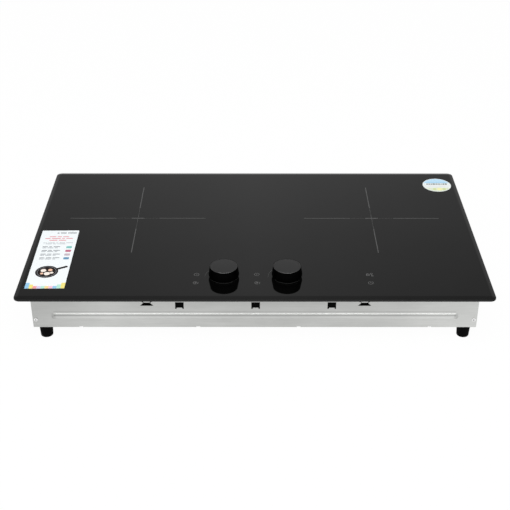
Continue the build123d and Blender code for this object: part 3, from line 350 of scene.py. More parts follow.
# Plainer finishes: two shades, the size of their grain, roughness range and depth of relief
finishes = {
    "groundGlass": {     # the rim, cut and polished, and the matt underside
        "dark": 35, "light": 42, "grain": 0.25, "stretch": (6, 6, 1), "rough": (0.4, 0.4), "depth": 0.002,
        "gloss": 0.02,
    },
    # Fired enamel, a little thin in places
    "zonePrint": {"dark": 74.375, "light": 85, "grain": 0.35, "rough": (0.45, 0.45), "depth": 0.01},
    "iconPrint": {"dark": 81.375, "light": 93, "grain": 0.35, "rough": (0.45, 0.45), "depth": 0.01},
    "knobBlack": {
        "dark": 0, "light": 2, "grain": 0.25, "rough": (0.22, 0.32), "depth": 0.003, "gloss": 0.015,
    },
    "knobFootHighlight": {        # the foot of the skirt, painted lighter as a painted highlight along the knob's lower edge
        "dark": 48, "light": 56, "grain": 0.25, "rough": (0.22, 0.32), "depth": 0.003, "gloss": 0.015,
    },
    "knobTop": {         # a bead-blasted, dark anodised disc, whose rim is cut bright
        "dark": 46, "light": 52, "grain": 0.12, "detail": 2.0, "rough": (0.5, 0.6), "depth": 0.004,
        "metal": 0.12, "gloss": 0.2,
    },
    "knobRim": {
        "dark": 112, "light": 120, "grain": 0.12, "detail": 2.0, "rough": (0.24, 0.32), "depth": 0.002,
        "metal": 1.0,
    },
    "rubber": {"dark": 4, "light": 8, "grain": 0.5, "rough": (0.6, 0.8), "depth": 0.03, "gloss": 0.03},
    "darkPlastic": {
        "dark": 2, "light": 5, "grain": 0.35, "rough": (0.5, 0.7), "depth": 0.015, "gloss": 0.03,
    },
    "fastenerSteel": {
        "dark": 206, "light": 232, "grain": 0.8, "rough": (0.22, 0.38), "depth": 0.004, "metal": 1.0,
    },
    # the cross recess, painted dark as painted shade in it
    "screwRecessShade": {
        "dark": (34, 34, 35), "light": (52, 52, 54), "grain": 0.4, "rough": (0.4, 0.6), "depth": 0.006,
        "metal": 1.0,
    },
    "enamelledCopper": {
        "dark": (150, 76, 40), "light": (192, 106, 60), "grain": 0.5, "rough": (0.2, 0.32), "depth": 0.004,
        "metal": 1.0,
    },
    "millAluminium": {
        "dark": (196, 197, 199), "light": (216, 217, 219), "grain": 0.5, "stretch": (1, 60, 1),
        "rough": (0.28, 0.42), "depth": 0.004, "metal": 1.0,
    },
    "extrudedAluminium": {
        "dark": (186, 187, 190), "light": (208, 209, 212), "grain": 0.4, "stretch": (1, 90, 1),
        "rough": (0.3, 0.45), "depth": 0.006, "metal": 1.0,
    },
    "blackPlastic": {
        "dark": (20, 20, 21), "light": (27, 27, 28), "grain": 0.35, "rough": (0.4, 0.55), "depth": 0.015,
    },
    "ferrite": {
        "dark": (52, 53, 56), "light": (66, 67, 70), "grain": 0.6, "rough": (0.5, 0.7), "depth": 0.02,
    },
    "mica": {
        "dark": (196, 182, 150), "light": (222, 210, 182), "grain": 2.5, "rough": (0.3, 0.6), "depth": 0.02,
    },
    "whiteSilicone": {
        "dark": (222, 221, 216), "light": (234, 233, 229), "grain": 1.5, "rough": (0.45, 0.6), "depth": 0.01,
    },
    "brass": {
        "dark": (196, 160, 92), "light": (216, 182, 112), "grain": 0.3, "stretch": (20, 20, 1),
        "rough": (0.2, 0.35), "depth": 0.004, "metal": 1.0,
    },
    "whitePlastic": {
        "dark": (220, 219, 212), "light": (232, 231, 225), "grain": 0.6, "rough": (0.35, 0.5), "depth": 0.01,
    },
    "nickel": {
        "dark": (176, 174, 168), "light": (204, 202, 197), "grain": 1.0, "rough": (0.14, 0.26),
        "depth": 0.003, "metal": 1.0,
    },
    "capacitorBox": {
        "dark": (198, 154, 40), "light": (212, 168, 52), "grain": 1.2, "rough": (0.25, 0.4), "depth": 0.01,
    },
}


def makeFinish(name, look):
    material, tree, shader = newMaterial(name, {
        "Metallic": look.get("metal", 0.0), "Specular IOR Level": look.get("gloss", 0.5),
    })
    spots = grain(tree, look["grain"], look.get("stretch", (1, 1, 1)), look.get("detail", 3.0))
    paint(tree, shader, spots, look)
    roughen(tree, shader, spots, look)
    relief(tree, shader, spots, look["depth"])
    return material


labelLook = {"dark": 250, "light": 255, "rough": 0.5, "gloss": 0.12, "fibre": 0.4, "depth": 0.004}


def makeLabelPrint():  # printed film; the colours come from the piece's own attribute
    material, tree, shader = newMaterial("labelPrint", {
        "Roughness": labelLook["rough"], "Specular IOR Level": labelLook["gloss"],
    })
    ink = addNode(tree, "ShaderNodeAttribute", attribute_name="ink").outputs["Color"]
    fibre = grain(tree, labelLook["fibre"])
    film = shades(tree, fibre, labelLook["dark"], labelLook["light"])
    tone = addNode(tree, "ShaderNodeMix", {0: 1.0, 6: ink, 7: film}, data_type="RGBA", blend_type="MULTIPLY")
    tree.links.new(tone.outputs[2], shader.inputs["Base Color"])
    relief(tree, shader, fibre, labelLook["depth"])
    return material


litzLook = {
    "dark": (140, 68, 34), "light": (206, 122, 74), "metal": 0.85, "rough": 0.34, "strands": 7.0,
    "lay": 11.0, "depth": 0.12, "reliefShare": 0.6,
}


def makeLitz():  # enamelled strands, laid round the wire in a long helix, each painted darker towards its edges as painted shade in the grooves between them
    material, tree, shader = newMaterial("copperLitz", {
        "Metallic": litzLook["metal"], "Roughness": litzLook["rough"],
    })
    along = addNode(tree, "ShaderNodeAttribute", attribute_name="along").outputs["Fac"]
    rim = addNode(tree, "ShaderNodeAttribute", attribute_name="rim").outputs["Vector"]
    parts = addNode(tree, "ShaderNodeSeparateXYZ", {0: rim}).outputs
    around = math(tree, "DIVIDE", math(tree, "ARCTAN2", parts["Y"], parts["X"]), 2 * pi)
    laid = math(tree, "DIVIDE", along, litzLook["lay"] * mm)
    turn = math(tree, "MULTIPLY", math(tree, "ADD", around, laid), litzLook["strands"])
    strand = math(tree, "MULTIPLY", math(tree, "PINGPONG", turn, 0.5), 2.0)
    # colour from dark at a strand's edges to light at its middle: painted shade in the grooves
    paint(tree, shader, strand, litzLook)
    relief(tree, shader, strand, litzLook["depth"], litzLook["reliefShare"])
    return material


boardLook = {
    "dark": (30, 100, 54), "light": (18, 74, 38),     # tracks, and the mask between them
    "pitch": 3.2, "gap": 0.12, "trackLength": 5.0, "trackWidth": 0.8, "shift": 0.37, "squash": 1.6,
    "rough": 0.3, "depth": 0.03, "lowTrack": 0.6,     # height of the lowest tracks, as a share of depth
}


def makeCircuitBoard():  # tracks under the solder mask
    material, tree, shader = newMaterial("circuitBoard", {"Roughness": boardLook["rough"]})
    cells = addNode(tree, "ShaderNodeTexBrick", {
        "Vector": objectPlace(tree, [1 / (boardLook["pitch"] * mm)] * 3), "Color1": (1, 1, 1, 1),
        "Color2": (boardLook["lowTrack"],) * 3 + (1,), "Mortar": (0, 0, 0, 1), "Scale": 1.0,
        "Mortar Size": boardLook["gap"], "Brick Width": boardLook["trackLength"],
        "Row Height": boardLook["trackWidth"],
    }, offset=boardLook["shift"], squash=boardLook["squash"])
    paint(tree, shader, cells.outputs["Fac"], boardLook)
    relief(tree, shader, cells.outputs["Color"], boardLook["depth"])
    return material


guideLook = {"tint": (236, 240, 242), "clear": 0.9, "bending": 1.49, "rough": (0.05, 0.14), "grain": 1.0}


def makeClearGuide():
    material, tree, shader = newMaterial("clearGuide", {
        "Base Color": tint(guideLook["tint"]), "Transmission Weight": guideLook["clear"],
        "IOR": guideLook["bending"],
    })
    roughen(tree, shader, grain(tree, guideLook["grain"]), guideLook)
    return material


wireLook = {
    "phases": ((-30.0, (110, 62, 34)), (-11.0, (36, 84, 160)), (0.0, (60, 140, 60)), (11.0, (176, 34, 26))),
    "reach": 60.0, "rough": (0.38, 0.5), "grain": 0.6, "depth": 0.01,
}


def makeWireInsulation():  # brown, blue and green by place across the cooktop, red further out
    material, tree, shader = newMaterial("wireInsulation", {})
    reach = wireLook["reach"]
    share = addNode(tree, "ShaderNodeMapRange", {
        "Value": millimetres(tree)["X"], "From Min": -reach, "From Max": reach,
    })
    ramp = addNode(tree, "ShaderNodeValToRGB", {"Fac": share.outputs[0]})
    ramp.color_ramp.interpolation = "CONSTANT"
    stops = ramp.color_ramp.elements
    stops[0].color = tint(wireLook["phases"][-1][1])
    for index, (across, value) in enumerate(wireLook["phases"]):
        stop = stops[1] if index == 0 else stops.new(0.5)
        stop.position = (across + reach) / (2 * reach)
        stop.color = tint(value)
    tree.links.new(ramp.outputs["Color"], shader.inputs["Base Color"])
    spots = grain(tree, wireLook["grain"])
    roughen(tree, shader, spots, wireLook)
    relief(tree, shader, spots, wireLook["depth"])
    return material


looks = {name: makeFinish(name, look) for name, look in finishes.items()}
ceramicGlass = makeCeramicGlass("ceramicGlass", glassLook)
bevelGlassPaintedLight = makeCeramicGlass("bevelGlassPaintedLight", bevelPaintedLightLook)
sheetSteel = makeSheetSteel("sheetSteel", 0)
sideSteel = makeSheetSteel("sideSteel", 1)
# the tray's long walls carry painted light and shade
traySteelPaintedLight = makeSheetSteel("traySteelPaintedLight", 0, paintedLight=True)
labelPrint = makeLabelPrint()
copperLitz = makeLitz()
slotLooks = {
    "ceramic_glass": ceramicGlass,
    "black_rubber": looks["rubber"],
    "sheet_steel": sheetSteel,
    "fastener_steel": looks["fastenerSteel"],
    "aluminium_sheet": looks["millAluminium"],
    "heat_sink_aluminium": looks["extrudedAluminium"],
    "black_plastic": looks["blackPlastic"],
    "ferrite": looks["ferrite"],
    "copper_litz": copperLitz,
    "mica": looks["mica"],
    "white_silicone": looks["whiteSilicone"],
    "wire_insulation": makeWireInsulation(),
    "circuit_board": makeCircuitBoard(),
    "capacitor_shell": looks["capacitorBox"],
    "brass_posts": looks["brass"],
    "terminal_plastic": looks["whitePlastic"],
    "magnet": looks["nickel"],
    "clear_guide": makeClearGuide(),
    "knob_black": looks["knobBlack"],
    "knob_top": looks["knobTop"],
}
for nodeName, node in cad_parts.items():
    for nodeSlot in node.material_slots:
        nodeSlot.material = slotLooks[nodeSlot.material.name]
for side in ("left", "right"):
    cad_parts["side_panel_" + side].material_slots[0].material = sideSteel
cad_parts["housing_tray"].material_slots[0].material = traySteelPaintedLight
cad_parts["control_housing"].material_slots[0].material = looks["darkPlastic"]
print("materials ready")


# Mesh helpers

weldGap = 0.0001          # points of a made mesh that are nearer than this are one
nodeWeldGap = 0.001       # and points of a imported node


def roundCorners(points, radii, steps=6):  # closed outline whose corners become arcs
    outline = []
    for index, (corner, radius) in enumerate(zip(points, radii)):
        here = Vector(corner)
        if radius == 0:
            outline.append(here)
            continue
        back = (Vector(points[index - 1]) - here).normalized()
        ahead = (Vector(points[(index + 1) % len(points)]) - here).normalized()
        half = back.angle(ahead) / 2
        middle = here + (back + ahead).normalized() * (radius / sin(half))
        start = here + back * (radius / tan(half)) - middle
        end = here + ahead * (radius / tan(half)) - middle
        turn = atan2(start.x * end.y - start.y * end.x, start.dot(end))
        for step in range(steps + 1):
            outline.append(middle + Matrix.Rotation(turn * step / steps, 2) @ start)
    return outline


def rectangle(length, depth, radius=0.0, centre=(0, 0), steps=6):
    x, y = length / 2, depth / 2
    corners = [(centre[0] + i * x, centre[1] + j * y) for i, j in ((-1, -1), (1, -1), (1, 1), (-1, 1))]
    return roundCorners(corners, [radius] * 4, steps)


def ringPoints(radius, centre=(0, 0), count=40, start=0.0, sweep=2 * pi):
    whole = sweep >= 2 * pi
    steps = count if whole else count - 1
    angles = [start + sweep * index / steps for index in range(count)]
    return [Vector((centre[0] + radius * cos(a), centre[1] + radius * sin(a))) for a in angles]


def addPiece(name, mesh, material, body="cooktop", replaced=()):
    if material is not None:
        mesh.materials.append(material)
    piece = bpy.data.objects.new(name, mesh)
    scene.collection.objects.link(piece)
    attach(piece, body)
    if replaced:
        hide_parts(*replaced)


def meshFrom(name, form, smooth=True):  # the finished mesh of a bmesh, scaled from millimetres
    bmesh.ops.remove_doubles(form, verts=form.verts, dist=weldGap)
    bmesh.ops.recalc_face_normals(form, faces=form.faces)
    mesh = bpy.data.meshes.new(name)
    form.to_mesh(mesh)
    form.free()
    mesh.transform(Matrix.Scale(mm, 4))
    for face in mesh.polygons:
        face.use_smooth = smooth
    return mesh


def loftLoops(form, loops, closed=False):  # quads between loops of equal length
    count = len(loops[0])
    pairs = list(zip(loops, loops[1:])) + ([(loops[-1], loops[0])] if closed else [])
    faces = []
    for lower, upper in pairs:
        for index in range(count):
            ahead = (index + 1) % count
            faces.append(form.faces.new((lower[index], lower[ahead], upper[ahead], upper[index])))
    return faces


def lathe(form, profile, centre, segments):  # closed profile of radius and height
    loops = []
    for radius, height in profile:
        loop = []
        for index in range(segments):
            angle = 2 * pi * index / segments
            place = (centre[0] + radius * cos(angle), centre[1] + radius * sin(angle), centre[2] + height)
            loop.append(form.verts.new(place))
        loops.append(loop)
    loftLoops(form, loops, closed=True)


def slab(form, outline, low, high, place=None):  # flat piece between two heights
    place = place or Matrix.Identity(4)
    bottom = [form.verts.new(place @ Vector((x, y, low))) for x, y in outline]
    top = [form.verts.new(place @ Vector((x, y, high))) for x, y in outline]
    faces = loftLoops(form, [bottom, top])
    faces.append(form.faces.new(top))
    faces.append(form.faces.new(list(reversed(bottom))))
    return faces


def bandSlab(form, outer, inner, low, high, closed=True):  # flat band between two outlines
    if not closed:
        slab(form, list(outer) + list(reversed(inner)), low, high)
        return
    loops = []
    for outline, height in ((outer, low), (outer, high), (inner, high), (inner, low)):
        loops.append([form.verts.new((x, y, height)) for x, y in outline])
    loftLoops(form, loops, closed=True)


# Geometry Nodes helpers

def startTree(name, inputs):
    tree = bpy.data.node_groups.new(name, "GeometryNodeTree")
    for label, kind in inputs.items():
        tree.interface.new_socket(label, in_out="INPUT", socket_type="NodeSocket" + kind)
    tree.interface.new_socket("Geometry", in_out="OUTPUT", socket_type="NodeSocketGeometry")
    source = tree.nodes.new("NodeGroupInput")
    return tree, source.outputs


def endTree(tree, geometry, material, place=None):  # the tree's result, moved to place where one is given
    if place is not None:
        moved = addNode(tree, "GeometryNodeTransform", {"Geometry": geometry, "Translation": place})
        geometry = moved.outputs[0]
    real = addNode(tree, "GeometryNodeRealizeInstances", {0: geometry}).outputs[0]
    painted = addNode(tree, "GeometryNodeSetMaterial", {"Geometry": real, "Material": material})
    addNode(tree, "NodeGroupOutput", {0: painted.outputs[0]})


def treeMesh(name, tree, values, places=(), turns=()):  # what the tree makes of its inputs, as a plain mesh
    points = bpy.data.meshes.new(name)
    points.from_pydata([Vector(place) * mm for place in places], [], [])
    if turns:
        spin = points.attributes.new("turn", "FLOAT_VECTOR", "POINT")
        for item, turn in zip(spin.data, turns):
            item.vector = turn
    holder = bpy.data.objects.new(name, points)
    scene.collection.objects.link(holder)
    modifier = holder.modifiers.new("shape", "NODES")
    modifier.node_group = tree
    for item in tree.interface.items_tree:
        if item.in_out == "INPUT" and item.name in values:
            modifier[item.identifier] = values[item.name]
    evaluated = holder.evaluated_get(bpy.context.evaluated_depsgraph_get())
    mesh = bpy.data.meshes.new_from_object(evaluated)
    mesh.name = name
    bpy.data.objects.remove(holder)
    return mesh


def vector(tree, x=0.0, y=0.0, z=0.0):
    return addNode(tree, "ShaderNodeCombineXYZ", {0: x, 1: y, 2: z}).outputs[0]


def roundPlace(tree, radius, angle):  # x and y of a place on a circle
    return [math(tree, "MULTIPLY", radius, math(tree, wave, angle)) for wave in ("COSINE", "SINE")]


# Screws with a domed head and a cross recess, one for each solid of their nodes

screwShape = {
    "headSides": 32, "domeRings": 12, "shankSides": 24, "sharpAngle": 35,
    "drumShare": 0.985,      # radius of the drum under the dome, in head radii
    "cutter": 1.1,           # height of the slot cutter, half of it above the head, in head heights
    "lap": 0.2,              # how far the shank goes into the head, in head heights
    "recessShadeShare": 1.05,      # reach of the recess faces painted dark as painted shade, in recess radii
    "recessShadeFrom": 0.1, "recessShadeTo": 0.92,      # and their heights, in millimetres and in head heights
}
smallScrew = {"headHeight": 1.6, "domeHeight": 0.7, "recess": 0.55, "slot": 0.22, "shankRadius": 1.5}
screwSets = {
    "corner_screws": {
        "headHeight": 1.3, "domeHeight": 0.5, "recess": 0.56, "slot": 0.46, "shankRadius": 1.25,
        "headShare": 0.84,
    },
    "foot_screws": {"headHeight": 2.4, "domeHeight": 0.9, "recess": 0.55, "slot": 0.22, "shankRadius": 2.0},
    "shelf_screws": smallScrew,
    "board_screws": smallScrew,
}


def solidBoxes(nodeName):  # lowest and highest corner of each separate solid, in millimetres
    form = bmesh.new()
    form.from_mesh(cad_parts[nodeName].data)
    bmesh.ops.remove_doubles(form, verts=form.verts, dist=nodeWeldGap * mm)
    left = set(form.verts)
    boxes = []
    while left:
        island, edge = set(), [left.pop()]
        while edge:
            vertex = edge.pop()
            island.add(vertex)
            beside = {link.other_vert(vertex) for link in vertex.link_edges} & left
            left -= beside
            edge.extend(beside)
        corners = [vertex.co / mm for vertex in island]
        boxes.append([Vector(pick(corner[axis] for corner in corners) for axis in range(3))
                      for pick in (min, max)])
    form.free()
    return sorted(boxes, key=lambda box: tuple(box[0]))     # the same order every time


def makeScrewTree():
    tree, given = startTree("screw", {
        "Geometry": "Geometry", "Head Radius": "Float", "Head Height": "Float", "Dome Height": "Float",
        "Shank Radius": "Float", "Length": "Float", "Recess": "Float", "Slot": "Float", "Finish": "Material",
    })

    def sized(kind, x, y, z, lift, **counts):  # a unit solid, scaled and lifted
        return addNode(tree, "GeometryNodeTransform", {
            "Geometry": addNode(tree, kind, counts).outputs["Mesh"], "Scale": vector(tree, x, y, z),
            "Translation": vector(tree, 0.0, 0.0, lift),
        }).outputs[0]

    def combine(operation, first, others):
        node = addNode(tree, "GeometryNodeMeshBoolean", operation=operation)
        tree.links.new(first, node.inputs["Mesh 1" if operation == "DIFFERENCE" else "Mesh 2"])
        for other in others:
            tree.links.new(other, node.inputs["Mesh 2"])
        return node.outputs["Mesh"]

    radius, height, domeHeight = given["Head Radius"], given["Head Height"], given["Dome Height"]
    sides = screwShape["headSides"]
    rimHeight = math(tree, "SUBTRACT", height, domeHeight)
    dome = sized("GeometryNodeMeshUVSphere", radius, radius, domeHeight, rimHeight,
                 Segments=sides, Rings=screwShape["domeRings"])
    halfRim = math(tree, "MULTIPLY", rimHeight, 0.5)
    inner = math(tree, "MULTIPLY", radius, screwShape["drumShare"])
    drum = sized("GeometryNodeMeshCylinder", inner, inner, halfRim, halfRim, Vertices=sides)
    reach = math(tree, "MULTIPLY", math(tree, "MULTIPLY", radius, given["Recess"]), 2.0)
    width = math(tree, "MULTIPLY", radius, given["Slot"])
    deep = math(tree, "MULTIPLY", height, screwShape["cutter"])
    slots = [sized("GeometryNodeMeshCube", x, y, deep, height) for x, y in ((reach, width), (width, reach))]
    head = combine("DIFFERENCE", combine("UNION", dome, [drum]), [combine("UNION", slots[0], [slots[1]])])
    lap = math(tree, "MULTIPLY", height, screwShape["lap"])
    half = math(tree, "MULTIPLY", math(tree, "ADD", given["Length"], lap), 0.5)
    shank = sized("GeometryNodeMeshCylinder", given["Shank Radius"], given["Shank Radius"], half,
                  math(tree, "SUBTRACT", lap, half), Vertices=screwShape["shankSides"])

    turn = addNode(tree, "GeometryNodeInputNamedAttribute", {"Name": "turn"}, data_type="FLOAT_VECTOR")
    screws = addNode(tree, "GeometryNodeInstanceOnPoints", {
        "Points": given["Geometry"], "Instance": combine("UNION", head, [shank]),
        "Rotation": turn.outputs["Attribute"],
    })
    endTree(tree, screws.outputs[0], given["Finish"])
    return tree


def makeScrews():
    tree = makeScrewTree()
    for nodeName, values in screwSets.items():
        headHeight = values["headHeight"]
        places, turns = [], []
        for low, high in solidBoxes(nodeName):
            size, middle = high - low, (low + high) / 2
            if nodeName == "corner_screws":     # heads look out of the front and rear walls
                length = size.y
                outward = 1 if middle.y > 0 else -1
                seat = (high.y if outward > 0 else low.y) - outward * headHeight
                places.append((middle.x, seat, middle.z))
                turns.append((-outward * pi / 2, 0, 0))
            else:
                length = size.z
                down = nodeName == "foot_screws"
                places.append((middle.x, middle.y, low.z + headHeight if down else high.z - headHeight))
                turns.append((pi if down else 0, 0, 0))
        mesh = treeMesh(nodeName + "_turned", tree, {
            "Head Radius": size.x / 2 * values.get("headShare", 1.0) * mm, "Head Height": headHeight * mm,
            "Dome Height": values["domeHeight"] * mm, "Shank Radius": values["shankRadius"] * mm,
            "Length": (length - headHeight) * mm, "Recess": values["recess"], "Slot": values["slot"],
            "Finish": looks["fastenerSteel"],
        }, places, turns)
        # Faces inside the cross recess take the dark finish, a painted shade
        mesh.materials.append(looks["screwRecessShade"])
        cross = size.x / 2 * values["recess"] * screwShape["recessShadeShare"]
        for face in mesh.polygons:
            face.use_smooth = True
            centre = face.center / mm
            place, turn = min(zip(places, turns), key=lambda pair: (Vector(pair[0]) - centre).length)
            local = Euler(turn).to_matrix().inverted() @ (centre - Vector(place))
            inRecessShade = screwShape["recessShadeFrom"] < local.z < headHeight * screwShape["recessShadeTo"]
            face.material_index = 1 if inRecessShade and local.xy.length < cross else 0
        mesh.set_sharp_from_angle(angle=radians(screwShape["sharpAngle"]))
        addPiece("turned_" + nodeName, mesh, None, replaced=(nodeName,))


makeScrews()
print("screws ready")


# Wire wound along a path of points

wireSharpAngle = 60     # degrees, above which an edge stays sharp, as at a wire's cut end


def indexShare(tree, count):  # from 0 at the first point to 1 at the last
    index = addNode(tree, "GeometryNodeInputIndex").outputs[0]
    return math(tree, "DIVIDE", index, math(tree, "SUBTRACT", count, 1))


def wireAlong(tree, count, x, y, z, radius, sides):  # wire through count points at x, y, z
    row = addNode(tree, "GeometryNodeMeshLine", {"Count": count}).outputs["Mesh"]
    spread = addNode(tree, "GeometryNodeSetPosition", {"Geometry": row, "Position": vector(tree, x, y, z)})
    path = addNode(tree, "GeometryNodeMeshToCurve", {0: spread.outputs[0]}).outputs[0]

    def keep(name, kind, geometry, value):
        return addNode(tree, "GeometryNodeStoreNamedAttribute", {
            "Name": name, "Geometry": geometry, "Value": value,
        }, data_type=kind).outputs[0]

    travel = addNode(tree, "GeometryNodeSplineParameter").outputs["Length"]
    ring = addNode(tree, "GeometryNodeCurvePrimitiveCircle", {"Resolution": sides, "Radius": radius})
    place = addNode(tree, "GeometryNodeInputPosition").outputs[0]
    return addNode(tree, "GeometryNodeCurveToMesh", {
        "Curve": keep("along", "FLOAT", path, travel), "Fill Caps": True,
        "Profile Curve": keep("rim", "FLOAT_VECTOR", ring.outputs[0], place),
    }).outputs[0]


def addWirePiece(name, mesh, material, replaced):
    mesh.materials.clear()
    for face in mesh.polygons:
        face.use_smooth = True
    mesh.set_sharp_from_angle(angle=radians(wireSharpAngle))
    addPiece(name, mesh, material, replaced=replaced)


litzCoil = {
    "wireRadius": 1.96, "startRadius": 28.1, "pitch": 3.98, "turns": 12.6, "jumpAt": 6.0,
    "jumpLength": 0.12, "jump": 9.3, "points": 800, "sides": 12, "seat": 0.1,
}


def makeCoilTree():  # a flat spiral in two groups of turns
    tree, given = startTree("litzCoil", {
        "Start Radius": "Float", "Pitch": "Float", "Turns": "Float", "Jump": "Float", "Jump At": "Float",
        "Jump Length": "Float", "Hand": "Float", "Wire Radius": "Float", "Points": "Int", "Place": "Vector",
        "Wire": "Material",
    })
    turned = math(tree, "MULTIPLY", indexShare(tree, given["Points"]), given["Turns"])
    past = math(tree, "DIVIDE", math(tree, "SUBTRACT", turned, given["Jump At"]), given["Jump Length"])
    step = math(tree, "MINIMUM", math(tree, "MAXIMUM", past), 1.0)
    radius = math(tree, "ADD", given["Start Radius"], math(tree, "MULTIPLY", given["Pitch"], turned))
    radius = math(tree, "ADD", radius, math(tree, "MULTIPLY", given["Jump"], step))
    angle = math(tree, "MULTIPLY", math(tree, "MULTIPLY", turned, 2 * pi), given["Hand"])
    x, y = roundPlace(tree, radius, angle)
    wire = wireAlong(tree, given["Points"], x, y, 0.0, given["Wire Radius"], litzCoil["sides"])
    endTree(tree, wire, given["Wire"], given["Place"])
    return tree


def makeLitzCoils():
    tree = makeCoilTree()
    for side, hand in (("left", -1.0), ("right", 1.0)):
        low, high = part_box("coil_winding_" + side)
        middle = (low + high) / 2
        height = low.z + (litzCoil["wireRadius"] + litzCoil["seat"]) * mm
        mesh = treeMesh("litzCoil_" + side, tree, {
            "Start Radius": litzCoil["startRadius"] * mm, "Pitch": litzCoil["pitch"] * mm,
            "Turns": litzCoil["turns"], "Jump": litzCoil["jump"] * mm, "Jump At": litzCoil["jumpAt"],
            "Jump Length": litzCoil["jumpLength"], "Hand": hand, "Wire Radius": litzCoil["wireRadius"] * mm,
            "Points": litzCoil["points"], "Place": (middle.x, middle.y, height), "Wire": copperLitz,
        })
        addWirePiece("litzCoil_" + side, mesh, copperLitz, ("coil_winding_" + side,))


mainsChoke = {
    "middleRadius": 12.5, "reach": 5.55, "rise": 6.05, "wireRadius": 0.9, "turns": 14.0, "sweep": 122.0,
    "points": 448, "sides": 8, "coreInner": 8.0, "coreOuter": 17.0, "coreHeight": 10.0, "coreRound": 1.5,
    "roundSteps": 4, "coreSides": 64,
}


def makeChokeTree():  # wire round a squarish ring, through part of the way about it
    tree, given = startTree("mainsChoke", {
        "Middle Radius": "Float", "Reach": "Float", "Rise": "Float", "Start": "Float", "Sweep": "Float",
        "Turns": "Float", "Wire Radius": "Float", "Points": "Int", "Place": "Vector", "Wire": "Material",
    })
    share = indexShare(tree, given["Points"])
    around = math(tree, "MULTIPLY", math(tree, "MULTIPLY", share, given["Turns"]), 2 * pi)

    def squared(kind):  # a wave with flatter tops, so that the loop follows the core
        wave = math(tree, kind, around)
        size = math(tree, "SQRT", math(tree, "ABSOLUTE", wave))
        return math(tree, "MULTIPLY", math(tree, "SIGN", wave), size)

    reach = math(tree, "MULTIPLY", given["Reach"], squared("COSINE"))
    angle = math(tree, "ADD", given["Start"], math(tree, "MULTIPLY", share, given["Sweep"]))
    x, y = roundPlace(tree, math(tree, "ADD", given["Middle Radius"], reach), angle)
    z = math(tree, "MULTIPLY", given["Rise"], squared("SINE"))
    wire = wireAlong(tree, given["Points"], x, y, z, given["Wire Radius"], mainsChoke["sides"])
    endTree(tree, wire, given["Wire"], given["Place"])
    return tree


def makeMainsChoke():
    tree = makeChokeTree()
    low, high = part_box("mains_choke")
    middle = (low + high) / 2
    form = bmesh.new()
    for half in (0.0, 180.0):
        mesh = treeMesh("chokeHalf", tree, {
            "Middle Radius": mainsChoke["middleRadius"] * mm, "Reach": mainsChoke["reach"] * mm,
            "Rise": mainsChoke["rise"] * mm, "Start": radians(half - mainsChoke["sweep"] / 2),
            "Sweep": radians(mainsChoke["sweep"]), "Turns": mainsChoke["turns"],
            "Wire Radius": mainsChoke["wireRadius"] * mm, "Points": mainsChoke["points"],
            "Place": middle, "Wire": looks["enamelledCopper"],
        })
        form.from_mesh(mesh)
        bpy.data.meshes.remove(mesh)
    winding = bpy.data.meshes.new("chokeWinding")
    form.to_mesh(winding)
    form.free()
    addWirePiece("chokeWinding", winding, looks["enamelledCopper"], ("mains_choke",))

    half = mainsChoke["coreHeight"] / 2
    inner, outer = mainsChoke["coreInner"], mainsChoke["coreOuter"]
    corners = [(inner, -half), (outer, -half), (outer, half), (inner, half)]
    outline = roundCorners(corners, [mainsChoke["coreRound"]] * 4, mainsChoke["roundSteps"])
    form = bmesh.new()
    lathe(form, outline, middle / mm, mainsChoke["coreSides"])
    addPiece("chokeCore", meshFrom("chokeCore", form), looks["ferrite"])


makeLitzCoils()
makeMainsChoke()
print("windings ready")


# Glass plate

glassPlate = {
    "cornerRadius": 8.0, "bevelWidth": 6.0, "bevelDrop": 1.5, "footRound": 0.7,
    "edgeRound": 0.8, "topRound": 14.0, "flatRing": 2.0, "cornerSteps": 12, "smallestCorner": 1.0,
    "bevelSlope": 0.985,     # upward share of a face, below which it is bevel
    "groundSlope": 0.93,     # and below which it is the ground edge or the matt underside
}
glassLow, glassHigh = (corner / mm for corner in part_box("glass_top"))
glassTop = glassHigh.z


def makeGlassPlate():
    length, depth = glassHigh.x - glassLow.x, glassHigh.y - glassLow.y
    width, drop = glassPlate["bevelWidth"], glassPlate["bevelDrop"]
    middle = min(length, depth) / 4     # any place well inside the plate
    corners = [(middle, glassLow.z), (0, glassLow.z), (0, glassTop - drop), (width, glassTop)]
    radii = [0, glassPlate["footRound"], glassPlate["edgeRound"], glassPlate["topRound"], 0]
    profile = roundCorners(corners + [(middle, glassTop)], radii)[1:-1]
    flatInset = profile[-1].x + glassPlate["flatRing"]
    footInset = profile[0].x + glassPlate["flatRing"]
    profile = [Vector((footInset, glassLow.z))] + profile + [Vector((flatInset, glassTop))]
    form = bmesh.new()
    loops = []
    for inset, height in profile:
        radius = max(glassPlate["cornerRadius"] - inset, glassPlate["smallestCorner"])
        outline = rectangle(length - 2 * inset, depth - 2 * inset, radius, steps=glassPlate["cornerSteps"])
        loops.append([form.verts.new((x, y, height)) for x, y in outline])
    loftLoops(form, loops)
    form.faces.new(loops[-1])
    form.faces.new(list(reversed(loops[0])))
    mesh = meshFrom("glassPlate", form)
    for material in (ceramicGlass, looks["groundGlass"], bevelGlassPaintedLight):
        mesh.materials.append(material)
    # faces of the bevel take the glass painted lighter, a painted highlight, and steeper faces the ground
    # glass
    for face in mesh.polygons:
        if face.normal.z < glassPlate["bevelSlope"]:
            face.material_index = 1 if face.normal.z < glassPlate["groundSlope"] else 2
    addPiece("glassPlate", mesh, None, replaced=("glass_top",))


makeGlassPlate()
print("glass plate ready")


# Prints on the glass

printing = {"thickness": 0.03}
printLow, printHigh = glassTop, glassTop + printing["thickness"]

zoneCross = {
    "armLength": 93.2, "solidStart": 29.6, "dotStart": 11.0, "dotCount": 9, "dotSize": 0.95, "dotSides": 10,
    "lineWidth": 1.1, "heartReach": 9.0, "heartWidth": 1.8, "hairWidth": 0.45,
}


